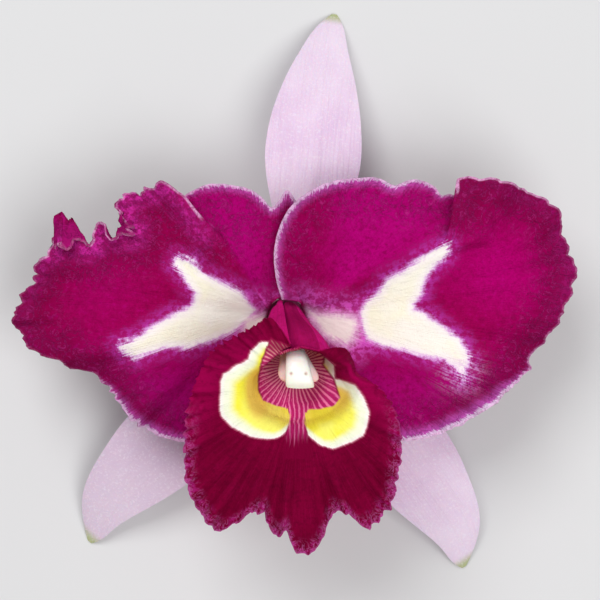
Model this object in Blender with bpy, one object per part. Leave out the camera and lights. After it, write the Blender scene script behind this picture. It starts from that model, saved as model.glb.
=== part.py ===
"""One cattleya orchid bloom, as picked: three sepals, two broad petals, the lip rolled round the
column, the column with its anther cap, and the curved stalk with the ovary. The bloom lies on its
back. +Z is the way it faces, +Y runs up its back sepal and +X to its right petal. The origin is on
the surface that the bloom lies on, under the middle of its outline. Shapes are worked out in
millimetres from the heart, the middle between the two petals' fans, and built in metres."""

import math
from bisect import bisect_right

import bmesh
import bpy
from mathutils import Matrix, Vector

MM = 0.001
HEART = Vector((1.3, -7.5, 30.0))  # the heart's place above the surface
ROOT_X = -3.8  # the ovary, on which every part stands, lies this far to the left of the heart
TO_METRES = Matrix.Scale(MM, 4) @ Matrix.Translation(HEART)

# The blades, thickness in millimetres and grid divisions
PETAL_THICK = 0.9
SEPAL_THICK = 1.1
LIP_THICK = 0.9
PETAL_RAYS = 80
PETAL_RINGS = 12
RING_POWER = 0.85  # draws the rings a little towards the margin
SEPAL_LENGTHWISE = 16
SEPAL_ACROSS = 6
LIP_RAYS = 82
LIP_RINGS = 14

# Each petal is a fan about its claw. A ray is the angle at which it leaves the claw, from the
# outward axis up to the back sepal. Lengths are from the claw.
CLAW = (4.6, 0.0)
CLAW_ROOT_RADIUS = 5.4
CLAW_ROOT_ANGLE = 22.0
CLAW_HALF_WIDTH = 1.9
CLAW_SHARE = 0.2  # share of the blade's length over which the claw opens to the fan
CLAW_FOOT_SHARE = 0.09  # share over which it rises from the seat
FAN_SHARE = 0.8  # share of the blade's length that is the plain fan inside the frilled margin

# The margin's length at each ray
RIGHT_OUTLINE = [
    (-100, 14), (-88, 17), (-72, 31), (-55, 40.5), (-46.5, 44.3), (-37, 48), (-27, 52.2),
    (-20.5, 55.4), (-14, 58.6), (-9.5, 59), (-5, 62.4), (0, 65.5), (5, 68.6), (8.5, 70.6),
    (12, 71), (17, 70.8), (21, 71.3), (24.6, 71.9), (27.6, 69.6), (31.2, 66.5), (35.3, 63.1),
    (39, 59.8), (40.3, 57.6), (41.3, 56.8), (42.2, 54.8), (42.8, 53.1), (43.5, 51.4),
    (44.3, 49.5), (45.2, 49.6), (46.6, 50), (48, 49.2), (48.8, 47.3), (51.5, 47.6), (55.5, 46.4),
    (57.5, 44.5), (59.8, 41.6), (62, 41.3), (67, 41.2), (73, 39.6), (85, 36.7), (96, 33.4),
    (104, 30.6), (112, 26.8), (123, 21.3), (134, 16.2), (148, 11.6), (158, 9.8),
]
LEFT_OUTLINE = [
    (-100, 14), (-88, 17), (-72, 31), (-52, 42.5), (-44, 46), (-37, 48), (-32, 49.1), (-26, 49.6),
    (-21, 50.8), (-16, 54), (-12, 60), (-8, 66.5), (-5, 70.2), (-1, 72.6), (3, 71.9), (6.5, 70),
    (9.5, 68.6), (12, 68.2), (14.4, 67), (15.6, 65.4), (16.4, 66), (17, 68.4), (18, 66),
    (19, 62.9), (19.8, 59.5), (20.6, 56.8), (21.6, 55.6), (22.4, 56), (23.1, 54.9), (23.7, 55.5),
    (24.3, 53.7), (24.8, 52), (25.4, 50.7), (27, 50), (30, 50.8), (32.4, 52.7), (33.3, 54.4),
    (35, 54.7), (37.4, 54.1), (39.2, 53.6), (40.5, 52.3), (41.2, 50.4), (41.9, 51.3),
    (43.6, 51.6), (44.6, 49.7), (45.9, 49.9), (48, 49), (49.3, 47.2), (50.1, 44.6), (50.9, 42.5),
    (51.6, 39.5), (52.2, 35.8), (52.8, 32.6), (53.2, 30.7), (53.7, 33), (54.3, 37.5), (55, 41.5),
    (56, 42.6), (58, 42.1), (61.4, 41.3), (65.4, 39.9), (70.6, 37.9), (75.8, 35.9), (81, 32.4),
    (84, 30), (88, 31.8), (92, 34.6), (96, 32), (104, 27), (114, 18), (126, 9.6),
]
# How far the margin is turned sideways from its ray, where it is folded or lobed
RIGHT_TURNS = [
    (40.3, 0), (41.3, 0.7), (42.2, 1.7), (42.8, 2.0), (43.5, -0.9), (44.3, -4.7), (45.2, -7.0),
    (46.6, -6.4), (48, -4.8), (51.5, -3.5), (55.5, -1.8), (57.5, -0.9), (62, 0),
]
LEFT_TURNS = [
    (12, 0), (14.4, 1.2), (15.6, 3.0), (16.4, 5.5), (18, 7.4), (19, 6.3), (19.8, 3.4),
    (20.6, 0.1), (21.6, 0.2), (23.1, 2.0), (23.7, 3.5), (24.3, 3.6), (24.8, 0.6), (25.4, -0.8),
    (27, 1.1), (30, 1.1), (33.3, 0), (40.5, 0), (41.2, -1.3), (41.9, 0), (50.9, 0.2),
    (51.9, -0.9), (52.8, -2.4), (53.2, -1.9), (53.7, -4.7), (55, -6.2), (56, -5.0), (58, -1.5),
    (61.4, 0),
]
# The fan's own length at each ray, up to where the frill begins
RIGHT_FAN = [
    (-100, 11.2), (-88, 13.6), (-72, 24.8), (-55, 32.4), (-37, 38.4), (-20, 44.4), (-5, 50),
    (8, 55.5), (22, 57), (31, 51.5), (38, 44.5), (43, 41.5), (46, 41), (50, 39), (56, 36),
    (62, 33.4), (73, 31.7), (85, 29.4), (96, 26.7), (104, 24.5), (112, 21.4), (123, 17),
    (134, 13), (148, 9.3), (158, 7.8),
]
LEFT_FAN = [
    (-100, 11.2), (-88, 13.6), (-72, 24.8), (-52, 34), (-37, 38.4), (-21, 41), (-12, 48),
    (-1, 57), (8, 56.5), (15, 55.5), (20.6, 54.3), (25.4, 48.4), (31, 46.5), (40, 44.5),
    (47, 40.5), (50.5, 36), (53.2, 28), (56, 33), (61, 33), (71, 30), (81, 25.8), (84, 24),
    (90, 26.5), (96, 25.6), (104, 21.6), (114, 14.4), (126, 7.7),
]
# How far the fan's edge is turned sideways, so that the right petal's rays run along its pleat.
# The left petal's pleat runs straight out from its claw
RIGHT_BENDS = [
    (12, 0), (22, -3.5), (32, -8.5), (40, -12.2), (43, -13), (46, -12.2), (50, -7.5), (56, -2),
    (62, 0),
]
LEFT_BENDS = [(0, 0), (90, 0)]
# pleat: where the outer lobe laps over the inner one. waves: height, waves in a full turn, phase.
# curls: where the frill turns back over the face. dense: where rays stand closer, as middle,
# half width and how much closer.
PETALS = {
    "petal_right": {
        "side": 1, "outline": RIGHT_OUTLINE, "turns": RIGHT_TURNS, "fan": RIGHT_FAN,
        "bends": RIGHT_BENDS,
        "pleat": {"ray": 44.6, "width": 1.0, "step": 5.0, "from": 36.0, "to": 48.0},
        "waves": [(2.6, 11, 0.6), (1.5, 29, 2.1)],
        "curls": [],
        "dense": [(45, 4.5, 3.0), (12, 30, 0.9)],
    },
    "petal_left": {
        "side": -1, "outline": LEFT_OUTLINE, "turns": LEFT_TURNS, "fan": LEFT_FAN,
        "bends": LEFT_BENDS,
        "pleat": {"ray": 53.2, "width": 0.8, "step": 5.5, "from": 22.0, "to": 38.0},
        "waves": [(3.0, 13, 2.2), (1.7, 31, 0.3)],
        "curls": [
            {"ray": 18.0, "width": 1.5, "back": (-1.1, -10.0), "rise": 4.5},
            {"ray": 30.0, "width": 2.6, "back": (-3.2, -3.6), "rise": 3.2},
        ],
        "dense": [(52.8, 4, 2.8), (21, 5, 3.4), (12, 30, 0.9)],
    },
}
PLEAT_FADE = 9.0  # degrees over which a pleat's step dies away on each side
PLEAT_CALM = {"width": 4.0, "share": 0.8}  # how wide and how far the waves lie down at a pleat
CURL_SHARE = 0.45  # share of the frill that a full curl turns back

# The waves stand at the margin of the outer lobe, from one ray to another
WAVED_FROM, WAVED_TO, WAVED_FADE = -48.0, 54.0, 13.0
LEAST_WAVED = 0.12  # share of the waves that is left elsewhere
WAVE_POWER = 3.0  # how close to the margin the waves keep, and how much closer the short ones
WAVE_POWER_PER_WAVE = 0.06

# How high a petal stands. Falls: how far a stretch of the margin falls back, from a ray on
PETAL_REACH = 72.0
PETAL_ARCH = {"height": 8.5, "turn": 1.9, "drop": 4.5}
OUTER_SWELL = {"x": 46.0, "y": 6.0, "width": 20.0, "height": 3.0}
MIDRIB = {"depth": 1.1, "slope": 0.12, "width": 2.5, "opens": 20.0, "fades": 50.0}
UPPER_FALL = {"height": 2.4, "ray": 50.0, "over": 25.0}
LOWER_FALL = {"height": 2.0, "ray": -28.0, "over": 25.0}
FALL_POWER = 4
HEART_RISE = {"height": 3.0, "wide": 7.5, "y": 5.0, "deep": 5.0}  # over the root of the tube
PETAL_ROOT_LEVEL = -1.6
PETAL_LAP = (1.75, -1.3)  # heights of the right and the left petal where the right laps over
LAPPED = {"x": 6.0, "fades": 14.0, "y": 1.0, "rises": 6.0}

# The room that the petals leave round the lip's tube
TUBE_ROOM = 4.9
TUBE_ROOM_GROWTH = 0.4
TUBE_ROOM_DROP = 1.0  # the room is measured this far below a petal's face
ROOM_POWER = 6  # how sharply the petals give way

# Sepals: direction of the axis, length seen from the front, half widths and the axis's bow
SEPAL_ROOT_RADIUS = 4.6
BACK_WIDTHS = [
    (0, 2.0), (0.08, 3.4), (0.25, 8.6), (0.45, 13.0), (0.6, 12.7), (0.75, 9.9), (0.87, 6.4),
    (0.94, 4.2), (0.98, 2.2), (1, 0.8),
]
SIDE_WIDTHS = [
    (0, 2.0), (0.08, 3.4), (0.25, 8.4), (0.45, 12.6), (0.6, 12.4), (0.75, 10.1), (0.87, 7.2),
    (0.94, 4.7), (0.98, 2.4), (1, 0.8),
]
SEPALS = {
    "dorsal_sepal": {
        "root": 90.0, "tip": (9.8, 86.3), "widths": BACK_WIDTHS,
        "bow": [(0, 0), (0.42, 1.0), (0.65, 1.6), (0.88, 1.3), (1, 0)],
    },
    "lateral_sepal_right": {
        "root": -30.0, "tip": (47.3, -70.8), "widths": SIDE_WIDTHS,
        "bow": [(0, 0), (0.4, 1.5), (0.7, 3.2), (0.88, 3.4), (1, -0.5)],
    },
    "lateral_sepal_left": {
        "root": 210.0, "tip": (-60.4, -63.6), "widths": SIDE_WIDTHS,
        "bow": [(0, 0), (0.4, -1.5), (0.7, -3.2), (0.88, -3.4), (1, 0.5)],
    },
}
SEPAL_TURN = 0.3  # share of the length over which a sepal turns from its root to its axis
SEPAL_LEVEL = -1.44
SEPAL_CROWN = {"height": 2.6, "tip_share": 0.4}
SEPAL_FALL = {"straight": 0.25, "power": 2.2}
SEPAL_RIB = {"height": 0.9, "width": 0.16, "starts": 0.2}
SEPAL_SINK = 0.25  # how far a tip would pass the surface before it is flattened on it

# The lip: a rolled tube that leaves the ovary forwards and down, then flares into the skirt
MOUTH = (-0.26, -17.0)
LIP_OUTLINE = [
    (-258, 10.2), (-252, 14.5), (-247, 18.2), (-230, 19.2), (-215, 20.9), (-200, 24.3),
    (-190, 25.4), (-173, 28.4), (-156, 32.6), (-148, 35.3), (-138, 39.7), (-130, 42.4),
    (-124, 43.8), (-119, 44.8), (-116, 42.6), (-111, 36.8), (-105, 35.6), (-99, 40.8),
    (-95, 39.0), (-91, 44.6), (-85, 44.7), (-81, 40.8), (-78, 37.2), (-74, 35.2), (-69, 36.8),
    (-66, 41.6), (-62, 42.4), (-57, 41.0), (-51, 39.4), (-43, 35.3), (-35, 32.7), (-28, 30.2),
    (-17, 26.5), (-6, 22.2), (2, 18.6), (10, 15.4), (24, 15.2), (38, 15.0), (49, 12.4),
    (60, 10.2), (75, 9.7), (90, 9.9), (105, 10.0), (122, 10.1),
]
# Shares of the way from the lip's root to its margin
TUBE_SHARE, THROAT_SHARE, CREST_SHARE = 0.2, 0.42, 0.6
LIP_ROOT_RADIUS = 4.1
LIP_ROOT_LEVEL = 1.35
LIP_CLAW = {"drop": 3.1, "width": 0.34}  # the tube's lower side starts lower, at the seat
TUBE_LEVEL = 7.2
TUBE_HALF_WIDTH, TUBE_HALF_HEIGHT = 6.4, 5.7
TUBE_BEND = 0.45  # how much the tube's way to the mouth is curved
TUBE_BENT_BELOW = 18.0  # height at which the tube has come to the mouth's middle
TUBE_BENT_SHARE = 0.5
THROAT_HALF_WIDTH = 10.6
THROAT_BELOW = 8.4  # from the mouth's middle down to the throat's wall
THROAT_ABOVE = 9.6
THROAT_NARROWS = 0.97
THROAT_LEVEL = {"middle": 20.5, "fall_below": 4.0, "rise_above": 3.0}
# The crest, where the wall turns outwards into the skirt. The hood's rim is its upper part
CREST_LEVEL = {"middle": 29.5, "fall_below": 2.0, "hood_drop": 1.2}
CREST_WIDTH, HOOD_CREST_WIDTH = 5.4, 0.3
HOOD_STARTS = 1.6  # how soon towards the top the wall is a hood
HOOD_RISE = 2.4
SKIRT_SLOPE, SKIRT_CURVE = 0.16, 0.006
# The left lobe laps over the right one at the top of the tube, between these angles
LAP_UNDER, LAP_OVER = {"from": 84.0, "over": 14.0}, {"from": -236.0, "over": 12.0}
LIP_LAP_GAP = 1.25
LIP_LAP_RISE = 1.3
LIP_LAP_SHARE = 0.4  # share of the lip's length over which the lobes part in height
LIP_WAVES = [(1.0, 26, 0.9), (0.7, 41, 2.0)]
LIP_WAVED_FROM, LIP_WAVE_POWER, LEAST_LIP_WAVED = 0.55, 1.6, 0.25
SKIRT_FROM, SKIRT_TO = {"angle": -250.0, "over": 20.0}, {"angle": 20.0, "over": 30.0}
LIP_DENSE = [(-90, 45, 0.9)]
MIDLOBE = {"angle": -90.0, "width": 9.0, "rise": 1.6}
# Where the side lobes' upper corners are rolled back
LIP_ROLLS = [
    {"angle": 27.0, "width": 17.0, "rise": 2.2, "drop": 2.8},
    {"angle": -213.0, "width": 20.0, "rise": 2.0, "drop": 2.4},
]

# The column, its cap and the stalk
COLUMN_ROOT_GAP = 0.3
COLUMN_BEND = (-1.8, -9.6, 24.8)  # towards here the column leaves the ovary
COLUMN_TIP = (0.0, -16.4, 22.8)
COLUMN_OUTLINE = [  # share of the length, half width and half depth
    (0, 2.4, 2.4), (0.12, 1.9, 2.1), (0.4, 2.7, 2.2), (0.65, 4.1, 2.0), (0.85, 5.2, 1.8),
    (0.96, 5.0, 1.6), (1, 4.3, 1.2),
]
CAP_OUTLINE = [
    (0.62, 1.8, 0.9), (0.68, 2.5, 1.3), (0.8, 3.0, 1.6), (0.92, 3.5, 1.6), (0.99, 3.7, 1.5),
    (1.02, 3.6, 1.3),
]
CAP_GAP = 0.5
COLUMN_SIDES = 16
STALK_SIDES = 16
OVARY_TOP = -2.42
SEAT_RADIUS = 5.4
STALK_BEND = 23.0
STALK_RUN = 27.0
STALK_LIFT = 2.35  # height of the stalk's axis where it lies on the surface

# Base colour and roughness
FINISHES = {
    "petal": ((0.36, 0.0, 0.13, 1), 0.5), "sepal": ((0.8, 0.6, 0.79, 1), 0.5),
    "lip": ((0.2, 0.0, 0.03, 1), 0.5), "column": ((0.93, 0.9, 0.82, 1), 0.45),
    "cap": ((0.98, 0.97, 0.88, 1), 0.35), "stalk": ((0.35, 0.47, 0.14, 1), 0.45),
}
SHARP_ANGLE = 50.0


def ease(x):
    """0 up to x = 0, 1 from x = 1, and a smooth rise between."""
    x = min(max(x, 0.0), 1.0)
    return x * x * (3 - 2 * x)


def hump(x, middle, width):
    return math.exp(-(((x - middle) / width) ** 2))


def along(table, x):
    """A smooth line through the table's points, level past its ends."""
    keys = [key for key, _ in table]
    i = min(max(bisect_right(keys, x) - 1, 0), len(table) - 2)
    (x0, y0), (x1, y1) = table[i], table[i + 1]
    before, after = table[max(i - 1, 0)], table[min(i + 2, len(table) - 1)]
    step = x1 - x0
    slope0 = (y1 - before[1]) / (x1 - before[0]) * step
    slope1 = (after[1] - y0) / (after[0] - x0) * step
    t = min(max((x - x0) / step, 0.0), 1.0)
    return (
        y0 * (1 + 2 * t) * (1 - t) ** 2 + slope0 * t * (1 - t) ** 2
        + y1 * t * t * (3 - 2 * t) - slope1 * t * t * (1 - t)
    )


def spread(share, first, last, dense):
    """An angle at a share of the way from first to last. It moves slowly through each dense
    stretch, given as middle and width, so that more rays fall there."""
    steps = 400
    weights = []
    for i in range(steps + 1):
        angle = first + (last - first) * i / steps
        weights.append(1 + sum(gain * hump(angle, middle, width) for middle, width, gain in dense))
    wanted = share * sum(weights[:-1])
    reached = 0.0
    for i in range(steps):
        if reached + weights[i] >= wanted:
            return first + (last - first) * (i + (wanted - reached) / weights[i]) / steps
        reached += weights[i]
    return last


def direction(angle):
    return math.cos(math.radians(angle)), math.sin(math.radians(angle))


def tube_centre(level):
    """Middle of the lip's tube at a height over the heart."""
    moved = min(max(level / TUBE_BENT_BELOW, 0), 1)
    share = TUBE_BEND * moved ** 2 + (1 - TUBE_BEND) * moved
    return ROOT_X + (MOUTH[0] - ROOT_X) * share, MOUTH[1] * share


def clear_of_tube(side, x, y, z):
    """Moves a petal's point out of the room that the lip's tube takes."""
    cx, cy = tube_centre(max(z - TUBE_ROOM_DROP, 0.0))
    cx *= side
    room = TUBE_ROOM + TUBE_ROOM_GROWTH * max(z, 0.0)
    dx, dy = x - cx, y - cy
    away = math.hypot(dx, dy)
    if away < 0.001:
        return x, y
    wanted = (away ** ROOM_POWER + room ** ROOM_POWER) ** (1 / ROOM_POWER)
    return cx + dx * wanted / away, cy + dy * wanted / away


def pleat_step(pleat, ray, out):
    """Height that the pleat gives a point at a distance from the claw, above on the outer lobe."""
    past = ray - pleat["ray"]
    grown = ease((out - pleat["from"]) / (pleat["to"] - pleat["from"]))
    fade = math.exp(-((past / PLEAT_FADE) ** 2))
    return -pleat["step"] / 2 * grown * math.tanh(past / pleat["width"]) * fade


def petal_level(side, x, y):
    """Height of the petal's plain arch."""
    out = math.hypot(x, y) / PETAL_REACH
    arch = PETAL_ARCH["height"] * math.sin(PETAL_ARCH["turn"] * out) - PETAL_ARCH["drop"] * out * out
    at_heart = hump(side * x, ROOT_X, HEART_RISE["wide"]) * hump(y, HEART_RISE["y"], HEART_RISE["deep"])
    return arch + HEART_RISE["height"] * at_heart


def claw_point(petal, ray):
    """Where a ray starts on the claw's foot, which stands against the seat."""
    first, last = petal["outline"][0][0], petal["outline"][-1][0]
    across = CLAW_HALF_WIDTH * ((ray - first) / (last - first) * 2 - 1)
    dx, dy = direction(CLAW_ROOT_ANGLE)
    root_x = petal["side"] * ROOT_X
    return root_x + CLAW_ROOT_RADIUS * dx - across * dy, CLAW_ROOT_RADIUS * dy + across * dx


def petal_spread(petal, r, ray):
    """Where a point of the petal lies seen from the front, and how high its curl lifts it."""
    dx, dy = direction(ray + along(petal["bends"], ray))
    fan = along(petal["fan"], ray)
    margin = along(petal["outline"], ray)
    margin_dx, margin_dy = direction(ray + along(petal["turns"], ray))
    frill = max(r - FAN_SHARE, 0.0) / (1 - FAN_SHARE)
    amounts = [hump(ray, curl["ray"], curl["width"]) for curl in petal["curls"]]
    crest = 1 - CURL_SHARE * min(sum(amounts), 1.0)
    out = min(frill / crest, 1.0)
    turned = max(frill - crest, 0.0) / (1 - crest) if crest < 0.999 else 0.0
    plain = fan * min(r / FAN_SHARE, 1.0)
    foot_x, foot_y = claw_point(petal, ray)
    x = foot_x + (CLAW[0] - foot_x) * r + plain * dx + (margin * margin_dx - fan * dx) * out
    y = foot_y + (CLAW[1] - foot_y) * r + plain * dy + (margin * margin_dy - fan * dy) * out
    lift = 0.0
    for amount, curl in zip(amounts, petal["curls"]):
        x += curl["back"][0] * amount * turned
        y += curl["back"][1] * amount * turned
        lift += curl["rise"] * amount * (1 - math.cos(math.pi * turned)) / 2
    return x, y, lift


def petal_point(petal, r, ray):
    """A point of a petal, r being 0 at the claw and 1 at the margin."""
    side, pleat = petal["side"], petal["pleat"]
    x, y, lift = petal_spread(petal, r, ray)
    lift += pleat_step(pleat, ray, math.hypot(x - CLAW[0], y - CLAW[1]))
    held = max(1 - r / CLAW_SHARE, 0.0) ** 2
    free = 1 - held
    pushed_x, pushed_y = clear_of_tube(side, x, y, petal_level(side, x, y))
    foot_x, foot_y = claw_point(petal, ray)
    x = pushed_x * free + foot_x * held
    y = pushed_y * free + foot_y * held

    frilled = ease((ray - WAVED_FROM) / WAVED_FADE) * ease((WAVED_TO - ray) / WAVED_FADE)
    calm = 1 - PLEAT_CALM["share"] * hump(ray, pleat["ray"], PLEAT_CALM["width"])
    waved = (LEAST_WAVED + (1 - LEAST_WAVED) * frilled) * calm
    wave = sum(
        height * math.sin(math.radians(count * ray) + phase)
        * r ** (WAVE_POWER + WAVE_POWER_PER_WAVE * count)
        for height, count, phase in petal["waves"]
    )
    lapped = 1 - ease((x - LAPPED["x"]) / LAPPED["fades"])
    lapped *= ease((y - LAPPED["y"]) / LAPPED["rises"])
    swell, rib = OUTER_SWELL, MIDRIB
    z = petal_level(side, x, y) * free
    z += swell["height"] * hump(x, swell["x"], swell["width"]) * hump(y, swell["y"], swell["width"])
    opened = ease(x / rib["opens"]) * (1 - ease((x - rib["fades"]) / rib["opens"]))
    z -= rib["depth"] * hump(y - rib["slope"] * x, 0, rib["width"]) * opened
    upper = UPPER_FALL["height"] * ease((ray - UPPER_FALL["ray"]) / UPPER_FALL["over"])
    lower = LOWER_FALL["height"] * ease((LOWER_FALL["ray"] - ray) / LOWER_FALL["over"])
    z += (wave * waved - upper * r ** FALL_POWER) * (1 - lapped) - lower * r ** FALL_POWER + lift
    z += PETAL_LAP[0 if side > 0 else 1] * lapped * free
    z = max(z, 0.0) + PETAL_ROOT_LEVEL * (1 - ease(r / CLAW_FOOT_SHARE))
    return side * x, y, z


def sepal_point(sepal, u, v):
    """A point of a sepal, u along it from 0 to 1 and v across it from -1 to 1."""
    dx, dy = direction(sepal["root"])
    root = Vector((SEPAL_ROOT_RADIUS * dx, SEPAL_ROOT_RADIUS * dy))
    tip = Vector(sepal["tip"])
    axis = (tip - root).normalized()
    left = Vector((-axis.y, axis.x))
    turned = ease(u / SEPAL_TURN)
    leaving = Vector((dx, dy)) * (1 - turned) + axis * turned
    leaving.normalize()
    side = Vector((-leaving.y, leaving.x))
    half = along(sepal["widths"], u)
    flat = root + (tip - root) * u + left * along(sepal["bow"], u) + side * half * v
    flat.x += ROOT_X * (1 - turned)
    fall = HEART.z + SEPAL_LEVEL - SEPAL_THICK / 2 + SEPAL_SINK
    straight = SEPAL_FALL["straight"]
    z = SEPAL_LEVEL - fall * (straight * u + (1 - straight) * u ** SEPAL_FALL["power"])
    crown = SEPAL_CROWN["height"] * (1 - (1 - SEPAL_CROWN["tip_share"]) * u)
    z -= crown * v * v * math.sin(math.pi * u)
    z += SEPAL_RIB["height"] * hump(v, 0, SEPAL_RIB["width"]) * ease(u / SEPAL_RIB["starts"]) * (1 - u)
    return flat.x, flat.y, z


def lip_profile(angle):
    """Stations of the lip from its root to its margin at an angle: share, radius and height."""
    dx, dy = direction(angle)
    low, high = max(-dy, 0.0), max(dy, 0.0)
    margin = along(LIP_OUTLINE, angle)
    tube = math.hypot(TUBE_HALF_WIDTH * dx, TUBE_HALF_HEIGHT * dy)
    throat = math.hypot(THROAT_HALF_WIDTH * dx, (THROAT_ABOVE if dy > 0 else THROAT_BELOW) * dy)
    hooded = ease(high * HOOD_STARTS)
    claw = LIP_CLAW["drop"] * hump(dx, 0, LIP_CLAW["width"]) * (1 if dy < 0 else 0)
    throat_level = THROAT_LEVEL["middle"] - THROAT_LEVEL["fall_below"] * low
    throat_level += THROAT_LEVEL["rise_above"] * high
    crest_width = CREST_WIDTH + (HOOD_CREST_WIDTH - CREST_WIDTH) * hooded
    crest = min(throat + crest_width, (throat + margin) / 2)
    crest_level = CREST_LEVEL["middle"] - CREST_LEVEL["fall_below"] * low
    crest_level -= CREST_LEVEL["hood_drop"] * hooded
    beyond = max(margin - crest, 0)
    margin_level = crest_level + HOOD_RISE * hooded * high
    margin_level -= SKIRT_SLOPE * beyond + SKIRT_CURVE * beyond ** 2
    return [
        (0.0, LIP_ROOT_RADIUS, LIP_ROOT_LEVEL - claw),
        (TUBE_SHARE, tube, TUBE_LEVEL),
        (THROAT_SHARE, throat * THROAT_NARROWS, throat_level),
        (CREST_SHARE, crest, crest_level),
        (1.0, margin, margin_level),
    ]


def lip_point(s, angle):
    """A point of the lip, s being 0 at its root and 1 at its margin."""
    stations = lip_profile(angle)
    radius = along([(at, wide) for at, wide, _ in stations], s)
    level = along([(at, high) for at, _, high in stations], s)
    under = ease((angle - LAP_UNDER["from"]) / LAP_UNDER["over"])
    over = ease((LAP_OVER["from"] - angle) / LAP_OVER["over"])
    radius += LIP_LAP_GAP / 2 * (over - under)
    level += LIP_LAP_RISE * (over - under) * ease((s - TUBE_SHARE) / LIP_LAP_SHARE)
    free = ease((s - LIP_WAVED_FROM) / (1 - LIP_WAVED_FROM))
    skirt = ease((SKIRT_TO["angle"] - angle) / SKIRT_TO["over"])
    skirt *= ease((angle - SKIRT_FROM["angle"]) / SKIRT_FROM["over"])
    wave = sum(
        height * math.sin(math.radians(count * angle) + phase) for height, count, phase in LIP_WAVES
    )
    level += wave * free ** LIP_WAVE_POWER * (LEAST_LIP_WAVED + (1 - LEAST_LIP_WAVED) * skirt)
    level += MIDLOBE["rise"] * hump(angle, MIDLOBE["angle"], MIDLOBE["width"]) * free
    past_crest = max(s - CREST_SHARE, 0.0) / (1 - CREST_SHARE)
    for roll in LIP_ROLLS:
        bulge = roll["rise"] * math.sin(math.pi * past_crest) - roll["drop"] * past_crest ** 2
        level += bulge * hump(angle, roll["angle"], roll["width"])
    moved = min(s / TUBE_BENT_SHARE, 1.0)
    share = TUBE_BEND * moved ** 2 + (1 - TUBE_BEND) * moved
    centre = ROOT_X + (MOUTH[0] - ROOT_X) * share
    dx, dy = direction(angle)
    return centre + radius * dx, MOUTH[1] * share + radius * dy, level


def grid(columns, rows, place):
    """A sheet of columns by rows faces, cut into triangles, each point put in its place."""
    sheet = bmesh.new()
    bmesh.ops.create_grid(sheet, x_segments=columns, y_segments=rows, size=0.5)
    for vert in sheet.verts:
        vert.co = Vector(place(vert.co.x + 0.5, vert.co.y + 0.5))
    bmesh.ops.triangulate(sheet, faces=sheet.faces[:])
    return sheet


def thicken(sheet, thickness):
    """Gives a sheet its thickness, half on each side, so that both faces keep its triangles."""
    sheet.normal_update()
    lower = {vert: vert.co - vert.normal * thickness / 2 for vert in sheet.verts}
    upper = {vert: vert.co + vert.normal * thickness / 2 for vert in sheet.verts}
    made = bmesh.ops.duplicate(sheet, geom=sheet.verts[:] + sheet.edges[:] + sheet.faces[:])
    copies = made["vert_map"]
    faces = [item for item in made["geom"] if isinstance(item, bmesh.types.BMFace)]
    bmesh.ops.reverse_faces(sheet, faces=faces)
    for vert in lower:
        vert.co = upper[vert]
        copies[vert].co = lower[vert]
    edges = [edge for edge in sheet.edges if edge.is_boundary]
    bmesh.ops.bridge_loops(sheet, edges=edges)
    bmesh.ops.recalc_face_normals(sheet, faces=sheet.faces[:])


def rest_on_surface(sheet):
    """Flattens what would pass below the surface."""
    for vert in sheet.verts:
        vert.co.z = max(vert.co.z, -HEART.z)


def add(name, shape, finish):
    """Makes a node from a bmesh worked out in millimetres from the heart."""
    colour, roughness = FINISHES[finish]
    rest_on_surface(shape)
    bmesh.ops.transform(shape, matrix=TO_METRES, verts=shape.verts[:])
    mesh = bpy.data.meshes.new(name)
    shape.to_mesh(mesh)
    shape.free()
    mesh.shade_smooth()
    mesh.set_sharp_from_angle(angle=math.radians(SHARP_ANGLE))
    material = bpy.data.materials.new(name)
    material.use_nodes = True
    shader = material.node_tree.nodes["Principled BSDF"]
    shader.inputs["Base Color"].default_value = colour
    shader.inputs["Roughness"].default_value = roughness
    shader.inputs["Metallic"].default_value = 0.0
    mesh.materials.append(material)
    node = bpy.data.objects.new(name, mesh)
    bpy.context.scene.collection.objects.link(node)
    return node


def make_petal(name, petal):
    first, last = petal["outline"][0][0], petal["outline"][-1][0]

    def place(u, v):
        return petal_point(petal, v ** RING_POWER, spread(u, first, last, petal["dense"]))

    sheet = grid(PETAL_RAYS, PETAL_RINGS, place)
    thicken(sheet, PETAL_THICK)
    add(name, sheet, "petal")


def make_sepal(name, sepal):
    sheet = grid(
        SEPAL_LENGTHWISE, SEPAL_ACROSS, lambda u, v: sepal_point(sepal, u, 2 * v - 1)
    )
    thicken(sheet, SEPAL_THICK)
    add(name, sheet, "sepal")


def make_lip():
    first, last = LIP_OUTLINE[0][0], LIP_OUTLINE[-1][0]

    def place(u, v):
        return lip_point(v, spread(u, first, last, LIP_DENSE))

    sheet = grid(LIP_RAYS, LIP_RINGS, place)
    thicken(sheet, LIP_THICK)
    add("lip", sheet, "lip")


def loft(sides, sections):
    """A closed body through sections, each given as its centre and its two half axes."""
    last = len(sections) - 1

    def place(u, v):
        centre, wide, high = sections[round(v * last)]
        angle = 2 * math.pi * u
        return centre + wide * math.cos(angle) + high * math.sin(angle)

    body = grid(sides, last, place)
    bmesh.ops.remove_doubles(body, verts=body.verts[:], dist=0.001)
    ends = [edge for edge in body.edges if edge.is_boundary]
    bmesh.ops.holes_fill(body, edges=ends, sides=sides)
    bmesh.ops.recalc_face_normals(body, faces=body.faces[:])
    return body


def column_frame(at):
    """Middle of the column at a share of its length, and the way that its back faces."""
    root = Vector((ROOT_X, 0.0, OVARY_TOP + COLUMN_ROOT_GAP))
    bend, tip = Vector(COLUMN_BEND), Vector(COLUMN_TIP)
    middle = root * (1 - at) ** 2 + bend * 2 * at * (1 - at) + tip * at ** 2
    heading = (bend - root) * (1 - at) + (tip - bend) * at
    return middle, heading.normalized().cross(Vector((1, 0, 0)))


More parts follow.
